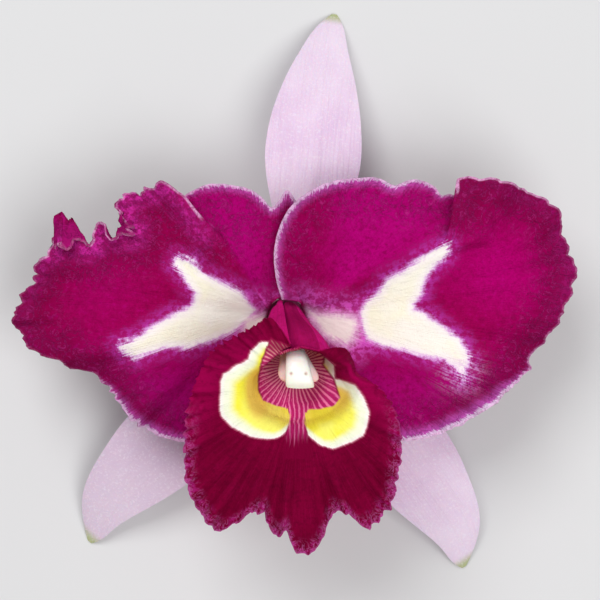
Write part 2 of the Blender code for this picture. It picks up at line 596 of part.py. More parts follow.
def make_column():
    sections = []
    for at, half_wide, half_deep in COLUMN_OUTLINE:
        middle, back = column_frame(at)
        if at == 0:
            back = Vector((0, 1, 0))
        sections.append((middle, Vector((half_wide, 0, 0)), back * half_deep))
    add("column", loft(COLUMN_SIDES, sections), "column")


def make_cap():
    """The cap lies over the column's back, down to its tip."""
    depths = [(at, half_deep) for at, _, half_deep in COLUMN_OUTLINE]
    sections = []
    for at, half_wide, half_deep in CAP_OUTLINE:
        middle, back = column_frame(at)
        middle += back * (along(depths, at) + CAP_GAP + half_deep)
        sections.append((middle, Vector((half_wide, 0, 0)), back * half_deep))
    add("anther_cap", loft(COLUMN_SIDES, sections), "cap")


def make_stalk():
    """The seat under the bloom, the ribbed ovary and the stalk that curves down and lies flat."""
    bend_top = -HEART.z + STALK_LIFT + STALK_BEND
    straight = OVARY_TOP - bend_top
    arc = STALK_BEND * math.pi / 2
    length = straight + arc + STALK_RUN
    radii = [
        (0, SEAT_RADIUS), (1.2, SEAT_RADIUS - 0.3), (4, 4.4), (10, 4.1), (24, 3.6), (34, 2.9),
        (42, 2.7), (length - 3, 2.7), (length, 2.75),
    ]
    stops = [0, 1.2, 2.6, 4.2, 7, 11, 15, 19, 23, 27, 31, 34, 37, 41, 47, 54, length - 1, length]
    sections = []
    for gone in stops:
        if gone <= straight:
            centre, heading = Vector((ROOT_X, 0, OVARY_TOP - gone)), Vector((0, 0, -1))
        elif gone <= straight + arc:
            turned = (gone - straight) / STALK_BEND
            centre = Vector((ROOT_X, STALK_BEND * (math.cos(turned) - 1), bend_top
                             - STALK_BEND * math.sin(turned)))
            heading = Vector((0, -math.sin(turned), -math.cos(turned)))
        else:
            past = gone - straight - arc
            centre = Vector((ROOT_X, -STALK_BEND - past, -HEART.z + STALK_LIFT))
            heading = Vector((0, -1, 0))
        radius = along(radii, gone)
        wide = Vector((1, 0, 0))
        sections.append((centre, wide * radius, heading.cross(wide) * radius))
    add("ovary_stalk", loft(STALK_SIDES, sections), "stalk")


def main():
    for leftover in bpy.data.objects[:]:
        bpy.data.objects.remove(leftover)
    for name, sepal in SEPALS.items():
        make_sepal(name, sepal)
    for name, petal in PETALS.items():
        make_petal(name, petal)
    make_lip()
    make_column()
    make_cap()
    make_stalk()


main()
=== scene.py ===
import math

import bmesh
import bpy
import numpy as np
from mathutils import Matrix, Vector, noise


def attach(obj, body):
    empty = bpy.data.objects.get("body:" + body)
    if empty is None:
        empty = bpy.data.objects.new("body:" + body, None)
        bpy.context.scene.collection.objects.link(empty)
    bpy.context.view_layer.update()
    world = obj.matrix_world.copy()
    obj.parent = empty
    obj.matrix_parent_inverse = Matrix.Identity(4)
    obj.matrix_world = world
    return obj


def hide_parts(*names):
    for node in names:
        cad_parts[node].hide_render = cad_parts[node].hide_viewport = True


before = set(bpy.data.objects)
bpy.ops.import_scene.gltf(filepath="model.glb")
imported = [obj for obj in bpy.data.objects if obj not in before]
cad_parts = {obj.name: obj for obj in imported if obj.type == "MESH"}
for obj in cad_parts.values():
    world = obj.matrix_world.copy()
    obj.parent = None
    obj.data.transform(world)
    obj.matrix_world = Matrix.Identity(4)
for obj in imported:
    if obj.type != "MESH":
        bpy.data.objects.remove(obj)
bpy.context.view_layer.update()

# The finished look of one cattleya bloom lying face up. Every blade follows the shape of its
# solid, with the fine frills of its margin, its markings and its surface added. Shapes are worked
# out in millimetres from the heart, the middle between the two petals' fans.

MM = 0.001
HEART = Vector((1.3, -7.5, 30.0))
ROOT_X = -3.8  # the ovary, on which every part stands, lies this far to the left of the heart
TO_METRES = Matrix.Scale(MM, 4) @ Matrix.Translation(HEART)

# The blades: how thick they are, and the columns and rows of their sheets
PETAL_THICK = 0.9
SEPAL_THICK = 1.1
LIP_THICK = 0.9
PETAL_GRID = (330, 110)
SEPAL_GRID = (150, 44)
LIP_GRID = (420, 110)
RING_POWER = 0.85  # below 1, so that a petal's rows stand closer towards its margin

# Each petal is a fan about its claw. A ray is the angle at which it leaves the claw, from the
# outward axis up to the back sepal. Lengths are from the claw.
CLAW = (4.6, 0.0)
CLAW_ROOT_RADIUS = 5.4
CLAW_ROOT_ANGLE = 22.0
CLAW_HALF_WIDTH = 1.9
CLAW_SHARE = 0.2  # share of the blade's length over which the claw opens to the fan
CLAW_FOOT_SHARE = 0.09  # share over which it rises from the seat
FAN_SHARE = 0.8  # share of the blade's length that is the plain fan inside the frilled margin

# The margin's length at each ray
RIGHT_OUTLINE = [
    (-100, 14), (-88, 17), (-72, 31), (-55, 40.5), (-46.5, 44.3), (-37, 48), (-27, 52.2),
    (-20.5, 55.4), (-14, 58.6), (-9.5, 59), (-5, 62.4), (0, 65.5), (5, 68.6), (8.5, 70.6),
    (12, 71), (17, 70.8), (21, 71.3), (24.6, 71.9), (27.6, 69.6), (31.2, 66.5), (35.3, 63.1),
    (39, 59.8), (40.3, 57.6), (41.3, 56.8), (42.2, 54.8), (42.8, 53.1), (43.5, 51.4),
    (44.3, 49.5), (45.2, 49.6), (46.6, 50), (48, 49.2), (48.8, 47.3), (51.5, 47.6), (55.5, 46.4),
    (57.5, 44.5), (59.8, 41.6), (62, 41.3), (67, 41.2), (73, 39.6), (85, 36.7), (96, 33.4),
    (104, 30.6), (112, 26.8), (123, 21.3), (134, 16.2), (148, 11.6), (158, 9.8),
]
LEFT_OUTLINE = [
    (-100, 14), (-88, 17), (-72, 31), (-52, 42.5), (-44, 46), (-37, 48), (-32, 49.1), (-26, 49.6),
    (-21, 50.8), (-16, 54), (-12, 60), (-8, 66.5), (-5, 70.2), (-1, 72.6), (3, 71.9), (6.5, 70),
    (9.5, 68.6), (12, 68.2), (14.4, 67), (15.6, 65.4), (16.4, 66), (17, 68.4), (18, 66),
    (19, 62.9), (19.8, 59.5), (20.6, 56.8), (21.6, 55.6), (22.4, 56), (23.1, 54.9), (23.7, 55.5),
    (24.3, 53.7), (24.8, 52), (25.4, 50.7), (27, 50), (30, 50.8), (32.4, 52.7), (33.3, 54.4),
    (35, 54.7), (37.4, 54.1), (39.2, 53.6), (40.5, 52.3), (41.2, 50.4), (41.9, 51.3),
    (43.6, 51.6), (44.6, 49.7), (45.9, 49.9), (48, 49), (49.3, 47.2), (50.1, 44.6), (50.9, 42.5),
    (51.6, 39.5), (52.2, 35.8), (52.8, 32.6), (53.2, 30.7), (53.7, 33), (54.3, 37.5), (55, 41.5),
    (56, 42.6), (58, 42.1), (61.4, 41.3), (65.4, 39.9), (70.6, 37.9), (75.8, 35.9), (81, 32.4),
    (84, 30), (88, 31.8), (92, 34.6), (96, 32), (104, 27), (114, 18), (126, 9.6),
]
# How far the margin is turned sideways from its ray, where it is folded or lobed
RIGHT_TURNS = [
    (40.3, 0), (41.3, 0.7), (42.2, 1.7), (42.8, 2.0), (43.5, -0.9), (44.3, -4.7), (45.2, -7.0),
    (46.6, -6.4), (48, -4.8), (51.5, -3.5), (55.5, -1.8), (57.5, -0.9), (62, 0),
]
LEFT_TURNS = [
    (12, 0), (14.4, 1.2), (15.6, 3.0), (16.4, 5.5), (18, 7.4), (19, 6.3), (19.8, 3.4),
    (20.6, 0.1), (21.6, 0.2), (23.1, 2.0), (23.7, 3.5), (24.3, 3.6), (24.8, 0.6), (25.4, -0.8),
    (27, 1.1), (30, 1.1), (33.3, 0), (40.5, 0), (41.2, -1.3), (41.9, 0), (50.9, 0.2),
    (51.9, -0.9), (52.8, -2.4), (53.2, -1.9), (53.7, -4.7), (55, -6.2), (56, -5.0), (58, -1.5),
    (61.4, 0),
]
# The fan's own length at each ray, up to where the frill begins
RIGHT_FAN = [
    (-100, 11.2), (-88, 13.6), (-72, 24.8), (-55, 32.4), (-37, 38.4), (-20, 44.4), (-5, 50),
    (8, 55.5), (22, 57), (31, 51.5), (38, 44.5), (43, 41.5), (46, 41), (50, 39), (56, 36),
    (62, 33.4), (73, 31.7), (85, 29.4), (96, 26.7), (104, 24.5), (112, 21.4), (123, 17),
    (134, 13), (148, 9.3), (158, 7.8),
]
LEFT_FAN = [
    (-100, 11.2), (-88, 13.6), (-72, 24.8), (-52, 34), (-37, 38.4), (-21, 41), (-12, 48),
    (-1, 57), (8, 56.5), (15, 55.5), (20.6, 54.3), (25.4, 48.4), (31, 46.5), (40, 44.5),
    (47, 40.5), (50.5, 36), (53.2, 28), (56, 33), (61, 33), (71, 30), (81, 25.8), (84, 24),
    (90, 26.5), (96, 25.6), (104, 21.6), (114, 14.4), (126, 7.7),
]
# How far the fan's edge is turned sideways, so that the right petal's rays run along its pleat.
# The left petal's pleat runs straight out from its claw
RIGHT_BENDS = [
    (12, 0), (22, -3.5), (32, -8.5), (40, -12.2), (43, -13), (46, -12.2), (50, -7.5), (56, -2),
    (62, 0),
]
# pleat: where the outer lobe laps over the inner one. waves: height, waves in a full turn, phase.
# curls: where the frill turns back over the face. dense: where rays stand closer, as middle,
# half width and how much closer. jags: how uneven the margin is. lap: how far it is raised where
# the petals lap.
PETALS = {
    "petal_right": {
        "side": 1, "outline": RIGHT_OUTLINE, "turns": RIGHT_TURNS, "fan": RIGHT_FAN,
        "bends": RIGHT_BENDS,
        "pleat": {"ray": 44.6, "width": 1.0, "step": 5.0, "from": 36.0, "to": 48.0},
        "waves": [(2.6, 11, 0.6), (1.5, 29, 2.1)],
        "curls": [],
        "dense": [(45, 4.5, 3.0), (12, 30, 0.9)], "jags": 0.4, "lap": 1.75,
    },
    "petal_left": {
        "side": -1, "outline": LEFT_OUTLINE, "turns": LEFT_TURNS, "fan": LEFT_FAN,
        "bends": [(0, 0), (90, 0)],
        "pleat": {"ray": 53.2, "width": 0.8, "step": 5.5, "from": 22.0, "to": 38.0},
        "waves": [(3.0, 13, 2.2), (1.7, 31, 0.3)],
        "curls": [
            {"ray": 18.0, "width": 1.5, "back": (-1.1, -10.0), "rise": 4.5},
            {"ray": 30.0, "width": 2.6, "back": (-3.2, -3.6), "rise": 3.2},
        ],
        "dense": [(52.8, 4, 2.8), (21, 5, 3.4), (12, 30, 0.9)], "jags": 1.0, "lap": -1.3,
    },
}
PLEAT_FADE = 9.0  # degrees over which a pleat's step dies away on each side
PLEAT_CALM = {"width": 4.0, "share": 0.8}  # how wide and how far the waves lie down at a pleat
CURL_SHARE = 0.45  # share of the frill that a full curl turns back

# The waves stand at the margin of the outer lobe, from one ray to another
WAVED_FROM, WAVED_TO, WAVED_FADE = -48.0, 54.0, 13.0
LEAST_WAVED = 0.12  # share of the waves that is left elsewhere
WAVE_POWER = 3.0  # how close to the margin the waves keep, and how much closer the short ones
WAVE_POWER_PER_WAVE = 0.06

# How high a petal stands. Falls: how far a stretch of the margin falls back, from a ray on,
# downwards where the length over which it grows is below 0
PETAL_REACH = 72.0
PETAL_ARCH = {"height": 8.5, "turn": 1.9, "drop": 4.5}
OUTER_SWELL = {"middle": (46.0, 6.0), "widths": (20.0, 20.0), "height": 3.0}
MIDRIB = {"depth": 1.1, "slope": 0.12, "width": 2.5, "opens": 20.0, "fades": 50.0}
UPPER_FALL = {"height": 2.4, "ray": 50.0, "over": 25.0}
LOWER_FALL = {"height": 2.0, "ray": -28.0, "over": -25.0}
FALL_POWER = 4
HEART_RISE = {"height": 3.0, "y": 5.0, "widths": (7.5, 5.0)}  # over the root of the tube
PETAL_ROOT_LEVEL = -1.6
# Where the right petal laps over the left one, near the back sepal
LAPPED = {"x": 6.0, "fades": 14.0, "y": 1.0, "rises": 6.0}

# The room that the petals leave round the lip's tube
TUBE_ROOM = 4.9
TUBE_ROOM_GROWTH = 0.4
TUBE_ROOM_DROP = 1.0  # the room is measured this far below a petal's face
ROOM_POWER = 6  # how sharply the petals give way

# Sepals: the direction in which one leaves the ovary and where its tip lies, then its half
# widths and its axis's bow by share of the length
SEPAL_ROOT_RADIUS = 4.6
BACK_WIDTHS = [
    (0, 2.0), (0.08, 3.4), (0.25, 8.6), (0.45, 13.0), (0.6, 12.7), (0.75, 9.9), (0.87, 6.4),
    (0.94, 4.2), (0.98, 2.2), (1, 0.8),
]
SIDE_WIDTHS = [
    (0, 2.0), (0.08, 3.4), (0.25, 8.4), (0.45, 12.6), (0.6, 12.4), (0.75, 10.1), (0.87, 7.2),
    (0.94, 4.7), (0.98, 2.4), (1, 0.8),
]
SEPALS = {
    "dorsal_sepal": {
        "root": 90.0, "tip": (9.8, 86.3), "widths": BACK_WIDTHS,
        "bow": [(0, 0), (0.42, 1.0), (0.65, 1.6), (0.88, 1.3), (1, 0)],
    },
    "lateral_sepal_right": {
        "root": -30.0, "tip": (47.3, -70.8), "widths": SIDE_WIDTHS,
        "bow": [(0, 0), (0.4, 1.5), (0.7, 3.2), (0.88, 3.4), (1, -0.5)],
    },
    "lateral_sepal_left": {
        "root": 210.0, "tip": (-60.4, -63.6), "widths": SIDE_WIDTHS,
        "bow": [(0, 0), (0.4, -1.5), (0.7, -3.2), (0.88, -3.4), (1, 0.5)],
    },
}
SEPAL_TURN = 0.3  # share of the length over which a sepal turns from its root to its axis
SEPAL_LEVEL = -1.44
SEPAL_CROWN = {"height": 2.6, "tip_share": 0.4}
SEPAL_FALL = {"straight": 0.25, "power": 2.2}
SEPAL_RIB = {"height": 0.9, "width": 0.16, "starts": 0.2}
SEPAL_SINK = 0.25  # how far a tip would pass the surface before it is flattened on it

# The lip: a rolled tube that rises from the ovary to the mouth, then flares into the skirt.
# Its outline gives how far the margin lies from the mouth's middle at each angle round it
MOUTH = (-0.26, -17.0)
LIP_OUTLINE = [
    (-258, 10.2), (-252, 14.5), (-247, 18.2), (-230, 19.2), (-215, 20.9), (-200, 24.3),
    (-190, 25.4), (-173, 28.4), (-156, 32.6), (-148, 35.3), (-138, 39.7), (-130, 42.4),
    (-124, 43.8), (-119, 44.8), (-116, 42.6), (-111, 36.8), (-105, 35.6), (-99, 40.8),
    (-95, 39.0), (-91, 44.6), (-85, 44.7), (-81, 40.8), (-78, 37.2), (-74, 35.2), (-69, 36.8),
    (-66, 41.6), (-62, 42.4), (-57, 41.0), (-51, 39.4), (-43, 35.3), (-35, 32.7), (-28, 30.2),
    (-17, 26.5), (-6, 22.2), (2, 18.6), (10, 15.4), (24, 15.2), (38, 15.0), (49, 12.4),
    (60, 10.2), (75, 9.7), (90, 9.9), (105, 10.0), (122, 10.1),
]
# Shares of the way from the lip's root to its margin
TUBE_SHARE, THROAT_SHARE, CREST_SHARE = 0.2, 0.42, 0.6
LIP_ROOT_RADIUS = 4.1
LIP_ROOT_LEVEL = 1.35
LIP_CLAW = {"drop": 3.1, "width": 0.34}  # the tube's lower side starts lower, at the seat
TUBE_LEVEL = 7.2
TUBE_HALF_WIDTH, TUBE_HALF_HEIGHT = 6.4, 5.7
TUBE_BEND = 0.45  # how much the tube's way to the mouth is curved
TUBE_BENT_BELOW = 18.0  # height at which the tube has come to the mouth's middle
TUBE_BENT_SHARE = 0.5
THROAT_HALF_WIDTH = 10.6
THROAT_BELOW = 8.4  # from the mouth's middle down to the throat's wall
THROAT_ABOVE = 9.6
THROAT_NARROWS = 0.97
THROAT_LEVEL = {"middle": 20.5, "fall_below": 4.0, "rise_above": 3.0}
# The crest, where the wall turns outwards into the skirt. The hood's rim is its upper part
CREST_LEVEL = {"middle": 29.5, "fall_below": 2.0, "hood_drop": 1.2}
CREST_WIDTH, HOOD_CREST_WIDTH = 5.4, 0.3
HOOD_STARTS = 1.6  # how soon towards the top the wall is a hood
HOOD_RISE = 2.4
SKIRT_SLOPE, SKIRT_CURVE = 0.16, 0.006
# The left lobe laps over the right one at the top of the tube: the angle from which each
# does so, and over how many degrees it parts from the other
LAP_UNDER, LAP_OVER = (84.0, 14.0), (-236.0, -12.0)
LIP_LAP_GAP = 1.25
LIP_LAP_RISE = 1.3
LIP_LAP_SHARE = 0.4  # share of the lip's length over which the lobes part in height
LIP_WAVES = [(1.0, 26, 0.9), (0.7, 41, 2.0)]
LIP_WAVED_FROM, LIP_WAVE_POWER, LEAST_LIP_WAVED = 0.55, 1.6, 0.25
# The ends of the skirt, and over how many degrees it begins and ends
SKIRT_FROM, SKIRT_TO = (-250.0, 20.0), (20.0, -30.0)
LIP_DENSE = [(-90, 45, 0.9)]
MIDLOBE = {"angle": -90.0, "width": 9.0, "rise": 1.6}
# Where the side lobes' upper corners are rolled back
LIP_ROLLS = [
    {"angle": 27.0, "width": 17.0, "rise": 2.2, "drop": 2.8},
    {"angle": -213.0, "width": 20.0, "rise": 2.0, "drop": 2.4},
]

# The column, its cap and the stalk. Grids: sides round a body and rows along it
COLUMN_GRID, CAP_GRID, STALK_GRID = (64, 60), (64, 50), (72, 140)
COLUMN_ROOT_GAP = 0.3
COLUMN_BEND = (-1.8, -9.6, 24.8)  # towards here the column leaves the ovary
COLUMN_TIP = (0.0, -16.4, 22.8)
COLUMN_OUTLINE = [  # share of the length, half width and half depth
    (0, 2.4, 2.4), (0.12, 1.9, 2.1), (0.4, 2.7, 2.2), (0.65, 4.1, 2.0), (0.85, 5.2, 1.8),
    (0.96, 5.0, 1.6), (1, 4.3, 1.2),
]
CAP_OUTLINE = [
    (0.62, 1.8, 0.9), (0.68, 2.5, 1.3), (0.8, 3.0, 1.6), (0.92, 3.5, 1.6), (0.99, 3.7, 1.5),
    (1.02, 3.6, 1.3),
]
CAP_GAP = 0.5
COLUMN_FOOT_SHARE = 0.1  # share of its length over which the column turns from the ovary
OVARY_TOP = -2.42
SEAT_RADIUS = 5.4
STALK_BEND = 23.0
STALK_RUN = 27.0
STALK_LIFT = 2.35  # height of the stalk's axis where it lies on the surface
STALK_RADII = [  # by length from the ovary's top
    (0, SEAT_RADIUS), (1.2, SEAT_RADIUS - 0.3), (4, 4.4), (10, 4.1), (24, 3.6), (34, 2.9),
    (42, 2.7),
]

# Finer forms that the solids leave out: crimps of the lip's margin, as height, waves in a full turn
# and phase, and the uneven face of every blade
LIP_CRIMPS = [(0.55, 67, 0.4), (0.4, 109, 1.3), (0.22, 173, 2.2)]
CRIMP_POWER = 5.0  # how close to the margin the crimps keep
# How strong they are, and how many times and in what phase that swings round a blade
CRIMP_MEAN, CRIMP_SWING = 0.7, 0.3
PETAL_UNEVEN, LIP_UNEVEN = (5, 1.0), (7, 2.0)
LEAST_LIP_CRIMPED = 0.2  # share of them that is left on the hood
# The crimps also move the margin in and out, by a share of their height
PETAL_SCALLOP = {"share": 0.9, "shift": 1.7, "power": 6.0}
LIP_SCALLOP = {"share": 0.9, "shift": 1.3, "power": 8.0}
# The uneven margin: height, closeness and row of the noise, and how close to the edge it keeps
JAGS, JAG_POWER = [(1.0, 0.8, 3.0), (0.8, 1.9, -5.0)], 10
CRINKLE, CRINKLE_SIZE, CRINKLE_LAYER = 0.3, 2.6, 7.3
# It starts at a share of a petal's length, and is weaker away from the margin
CRINKLE_STARTS, CRINKLE_LEAST, CRINKLE_GROWS = (0.25, 0.5), 0.35, (20, -14)
CURL_RUFFLE = 2.4  # how far a curl's edge is ruffled to either side
CURL_RUFFLES = (2.3, 6.0)  # how close the ruffles stand, by ray and by share of the length

# How much thinner a blade is at its margin, from which share of its length on, and over what
# share it grows thinner
PETAL_THINNER, PETAL_THINS = 0.55, (0.55, 0.45)
LIP_THINNER, LIP_THINS = 0.5, (0.6, 0.4)
SEPAL_THINNER, SEPAL_THIN_POWER = 0.5, 4
SEPAL_TIP_THINNER, SEPAL_TIP_THINS = 0.3, (0.9, 0.1)
SHARP_ANGLE = 65.0

# The view from the front: its distance, how wide it is, and the level and the height in the
# picture of its middle
VIEW_DISTANCE, VIEW_WIDTH = 600.0, 162.0
VIEW_LEVEL, VIEW_MIDDLE = 5.0, 4.9
SENSOR_WIDTH = 36.0

# Markings, as outlines in millimetres from the heart, seen from the front
RIGHT_BLAZE = [
    (40.2, 20.2), (32.1, 15.9), (27.8, 12.7), (23.8, 10.8), (21.3, 7.0), (17.8, 4.3),
    (16.2, 1.9), (17.0, -2.7), (18.1, -5.7), (22.1, -7.3), (28.1, -8.6), (34.0, -10.3),
    (39.2, -11.1), (41.9, -13.5), (44.0, -17.0), (45.9, -10.3), (43.2, -5.7), (39.2, -2.7),
    (34.0, 1.1), (30.8, 2.4), (31.3, 4.3), (32.9, 6.8), (33.8, 10.8), (36.5, 14.3), (39.7, 17.0),
]
LEFT_BLAZE = [
    (-32.9, 16.5), (-28.9, 15.7), (-26.5, 12.2), (-20.3, 9.2), (-15.9, 7.0), (-14.0, 4.6),
    (-11.9, 2.4), (-14.0, -0.8), (-18.1, -3.8), (-24.3, -6.2), (-30.5, -8.1), (-36.2, -7.8),
    (-41.6, -9.5), (-44.8, -10.8), (-47.0, -9.5), (-49.1, -7.3), (-43.0, -4.6), (-39.7, -2.2),
    (-34.6, 0.8), (-29.7, 3.0), (-28.9, 4.6), (-28.4, 6.8), (-30.5, 9.5), (-32.1, 12.4),
    (-33.8, 14.6),
]
CLAW_PATCH = [
    (1.6, 2.7), (5.4, 1.1), (10.3, 1.1), (15.1, 0.0), (15.7, -1.6), (15.1, -4.9), (12.7, -7.3),
    (8.6, -5.9), (6.2, -4.3),
]
LEFT_EYE = [
    (-7.8, -6.5), (-10.5, -6.5), (-13.2, -8.9), (-14.0, -11.1), (-17.0, -12.7), (-20.5, -15.1),
    (-21.3, -17.3), (-21.6, -24.3), (-21.1, -26.5), (-18.4, -29.2), (-13.2, -31.9),
    (-9.7, -32.4), (-6.8, -32.4), (-4.9, -31.6), (-2.4, -29.6), (1.5, -28.0), (1.5, -20.0),
    (-1.0, -9.0),
]
RIGHT_EYE = [
    (-3.0, -22.0), (-3.0, -28.0), (0.9, -30.6), (3.2, -32.4), (5.7, -34.3), (8.9, -35.1),
    (13.5, -33.5), (17.0, -31.6), (18.4, -27.8), (18.6, -25.1), (17.3, -21.3), (15.1, -17.8),
    (11.9, -16.7), (9.7, -16.5), (9.5, -12.4), (6.8, -10.5), (4.0, -9.7), (-1.0, -12.0),
]
THROAT = [
    (-7.8, -5.4), (-10.3, -10.8), (-11.6, -15.7), (-11.6, -19.4), (-10.3, -22.4), (-6.5, -24.0),
    (-3.5, -24.6), (-2.5, -26.5), (-2.7, -28.8), (-3.9, -31.2), (-4.8, -38.0), (3.0, -38.0),
    (2.0, -31.2), (1.1, -28.8), (1.2, -26.5), (2.4, -24.9), (5.4, -24.8), (9.5, -23.8),
    (11.1, -21.6), (9.5, -16.5), (6.8, -13.0), (4.0, -9.2), (0.0, -7.6), (-4.0, -6.8),
]
FAN_CENTRE = (-1.6, -13.0)  # from here the throat's stripes spread out

# The dark and light lines that run down the middle of the lip under the column's tip
BAND = [(-3.8, -24.0), (-2.6, -27.0), (-4.2, -38.5), (2.6, -38.5), (1.2, -27.0), (2.4, -24.0)]
BAND_LINE = 1.2  # width of a dark and a light line together

# What sets a petal's face apart. crimps: fine waves of its margin. fringe, line, frilly: how
# strong at each ray are the pale fringe, the thin light line on the margin and the bright frill
# inside it. blaze: its outline, and tips where it frays. glow: middle and strength of the
# brightest stretch. warm: share of crimson in the outer lobe. inner: rays between which the
# inner lobe's colour comes in
PETAL_LOOKS = {
    "petal_right": {
        "crimps": [(0.5, 61, 1.0), (0.35, 97, 2.3), (0.2, 151, 0.2)],
        "fringe": [(-100, 0.5), (-62, 1), (-22, 1), (-12, 0.3), (5, 0.12), (40, 0.12), (48, 0.5),
                   (60, 0.8), (158, 0.6)],
        "line": [(-100, 0.3), (-60, 0.5), (-18, 0.5), (-5, 0.2), (22, 0.3), (30, 0.85), (44, 0.9),
                 (47, 0.5), (158, 0.4)],
        "frilly": [(-10, 0), (10, 0.25), (40, 0.1), (50, 0)],
        "blaze": RIGHT_BLAZE, "tips": [(40.2, 20.0), (44.0, -14.0)],
        "glow": (54, 13), "glow_share": 0.85, "warm": 0.25, "inner": (42.0, 50.0),
    },
    "petal_left": {
        "crimps": [(0.8, 59, 0.7), (0.55, 101, 1.9), (0.3, 157, 2.8)],
        "fringe": [(-100, 0.5), (-62, 0.8), (-30, 0.7), (-14, 0.15), (50, 0.1), (55, 0.4),
                   (62, 0.7), (152, 0.5)],
        "line": [(-100, 0.3), (-50, 0.4), (-25, 0.15), (10, 0.2), (15, 0.95), (27, 0.9),
                 (34, 0.6), (48, 0.6), (51, 0.95), (55, 0.95), (58, 0.4), (152, 0.4)],
        "frilly": [(-10, 0), (8, 0.3), (16, 0.8), (30, 1), (46, 1), (51, 0.4), (55, 0)],
        "blaze": LEFT_BLAZE, "tips": [(-48.5, -8.5), (-32.5, 16.0)],
        "glow": (52, 7), "glow_share": 0.45, "warm": 0.8, "inner": (50.0, 58.0),
    },
}
# How much painted shade greys each sepal
SEPAL_SHADES = {"dorsal_sepal": 0.0, "lateral_sepal_right": 0.1, "lateral_sepal_left": 0.9}
SEPAL_LENGTH = 80.0

# Other fields of colour on the petals' faces. A pair is where one begins and over what length it
# grows, or its middle and its widths
GLOW_WIDTHS = (13, 12)
INNER_OUT, INNER_SHARE = (4, 10), 0.9
WARM_OUT, WARM_UP = (8, 14), (-8, 8)
WEDGE, WEDGE_WIDTHS, WEDGE_SHARE = (42, -2), (12, 9), 0.8
LOW_DOWN, LOW_SHARE = (-9, -10), 0.7
# Widths of the blaze's frayed tips and of the band of painted shade round the lip's tube
FRAY_WIDTH, TUBE_SHADE_WIDTH = 5, 1.5
STREAKS, STREAKS_WIDTH = (43.5, -14.5), 4.6  # on the right petal's blaze only

# The same on the lip. up and down: by how far an angle points upwards, or by height as seen.
# out: by share of the way to the margin. corner: the left upper corner, by angle. fold: painted
# shade beside the throat, with its shares on the left and the right. fold_ring: the same painted
# shade round the throat's rim. shade, under: painted shade and shadow of the hood over the throat
LIP_LOOKS = {
    "skirt": (-0.1, -0.5), "bright_rim": (2, 6), "bright_up": (0.6, -0.4),
    "bright_down": (-0.75, 0.6), "corner": (-212, 24), "corner_out": (0.5, 0.1),
    "corner_share": 0.8, "eye_middle": (-0.8, 9), "wall": (-22.5, 2), "hood_up": (0.35, 0.2),
    "hood_out": (0.62, -0.08), "depth": (0.5, -0.2), "shade": (-14.5, 7), "under_up": (-10.5, 3),
    "under_out": (0.3, 0.1), "under_share": 0.75, "fold": (12, -20), "fold_widths": (2.4, 6),
    "fold_shares": (1.2, 0.5), "fold_ring": (0.5, 0.09), "ring_share": 0.6,
}
EYE_QUICKER = 2.6  # how much sooner an eye's gold comes towards the lip's middle
# The tube's inside, up to these shares of the way to the margin, is marked as lying this deep
# in an eye, and deeper in the throat by so many millimetres for a whole share
EYE_FROM, EYE_DEPTH = 0.3, 3.0
THROAT_FROM, THROAT_SCALE = 0.34, 30.0
BAND_EDGE = 1.0  # how far outside its outline the band fades out

# The column's tinted wings, by distance from its middle and by share of its length, the cap's
# upper part, and the two small pits in the cap
WING_OUT, WING_ALONG = (2.4, 1.6), (0.24, 0.4)
CAP_UPPER = (0.45, -0.4)
PITS = {"between": -0.4, "middle": (2.0, -14.2), "width": 0.4, "depth": 0.3}
STALK_VEINS = 9.0  # how far round the stalk its veins are drawn, to either side


def ease(x):
    x = np.clip(x, 0.0, 1.0)
    return x * x * (3 - 2 * x)


def ramp(x, start, over):
    """Rises smoothly from 0 at start to 1 a length further on, or further back where the length
    is below 0."""
    return ease((x - start) / over)


def hump(x, middle, width):
    return np.exp(-(((x - middle) / width) ** 2))


def oval(x, y, middle, widths):
    """A soft oval, 1 in its middle."""
    return hump(x, middle[0], widths[0]) * hump(y, middle[1], widths[1])


def spot(x, y, middle, width):
    """A soft round spot, 1 in its middle."""
    return hump(np.hypot(x - middle[0], y - middle[1]), 0, width)


def at_least(least, share):
    """A share that runs from least to 1 where the given one runs from 0 to 1."""
    return least + (1 - least) * share


def along(table, x):
    """A smooth line through the table's points, level past its ends."""
    return through([key for key, _ in table], [value for _, value in table], x)


def through(keys, values, x):
    """The line of along, whose values may also differ from point to point."""
    keys = np.array(keys, float)
    x = np.asarray(x, float)
    values = np.stack([np.broadcast_to(np.asarray(value, float), x.shape) for value in values])
    i = np.clip(np.searchsorted(keys, x, side="right") - 1, 0, len(keys) - 2)
    before, after = np.maximum(i - 1, 0), np.minimum(i + 2, len(keys) - 1)
    step = keys[i + 1] - keys[i]

    def value(at):
        return np.take_along_axis(values, np.asarray(at)[None], axis=0)[0]

    slope0 = (value(i + 1) - value(before)) / (keys[i + 1] - keys[before]) * step
    slope1 = (value(after) - value(i)) / (keys[after] - keys[i]) * step
    t = np.clip((x - keys[i]) / step, 0.0, 1.0)
    return (
        value(i) * (1 + 2 * t) * (1 - t) ** 2 + slope0 * t * (1 - t) ** 2
        + value(i + 1) * t * t * (3 - 2 * t) - slope1 * t * t * (1 - t)
    )


def spread(share, outline, dense):
    """Angles at shares of the way along an outline, closer together in each dense stretch."""
    angles = np.linspace(outline[0][0], outline[-1][0], 801)
    weights = 1 + sum(gain * hump(angles, middle, width) for middle, width, gain in dense)
    reached = np.concatenate([[0.0], np.cumsum((weights[1:] + weights[:-1]) / 2)])
    return np.interp(share, reached / reached[-1], angles)


def direction(angle):
    return np.cos(np.radians(angle)), np.sin(np.radians(angle))


def waves(table, angle, power=0.0, r=1.0):
    """Waves round a margin, the short ones closer to it. They are at their full height where r
    is 1."""
    return sum(
        height * np.sin(np.radians(count * angle) + phase)
        * r ** (power + WAVE_POWER_PER_WAVE * count)
        for height, count, phase in table
    )


def uneven(angle, count, phase):
    """How strong the crimps are at an angle, so that some stand out more than others."""
    return CRIMP_MEAN + CRIMP_SWING * np.sin(np.radians(count * angle) + phase)


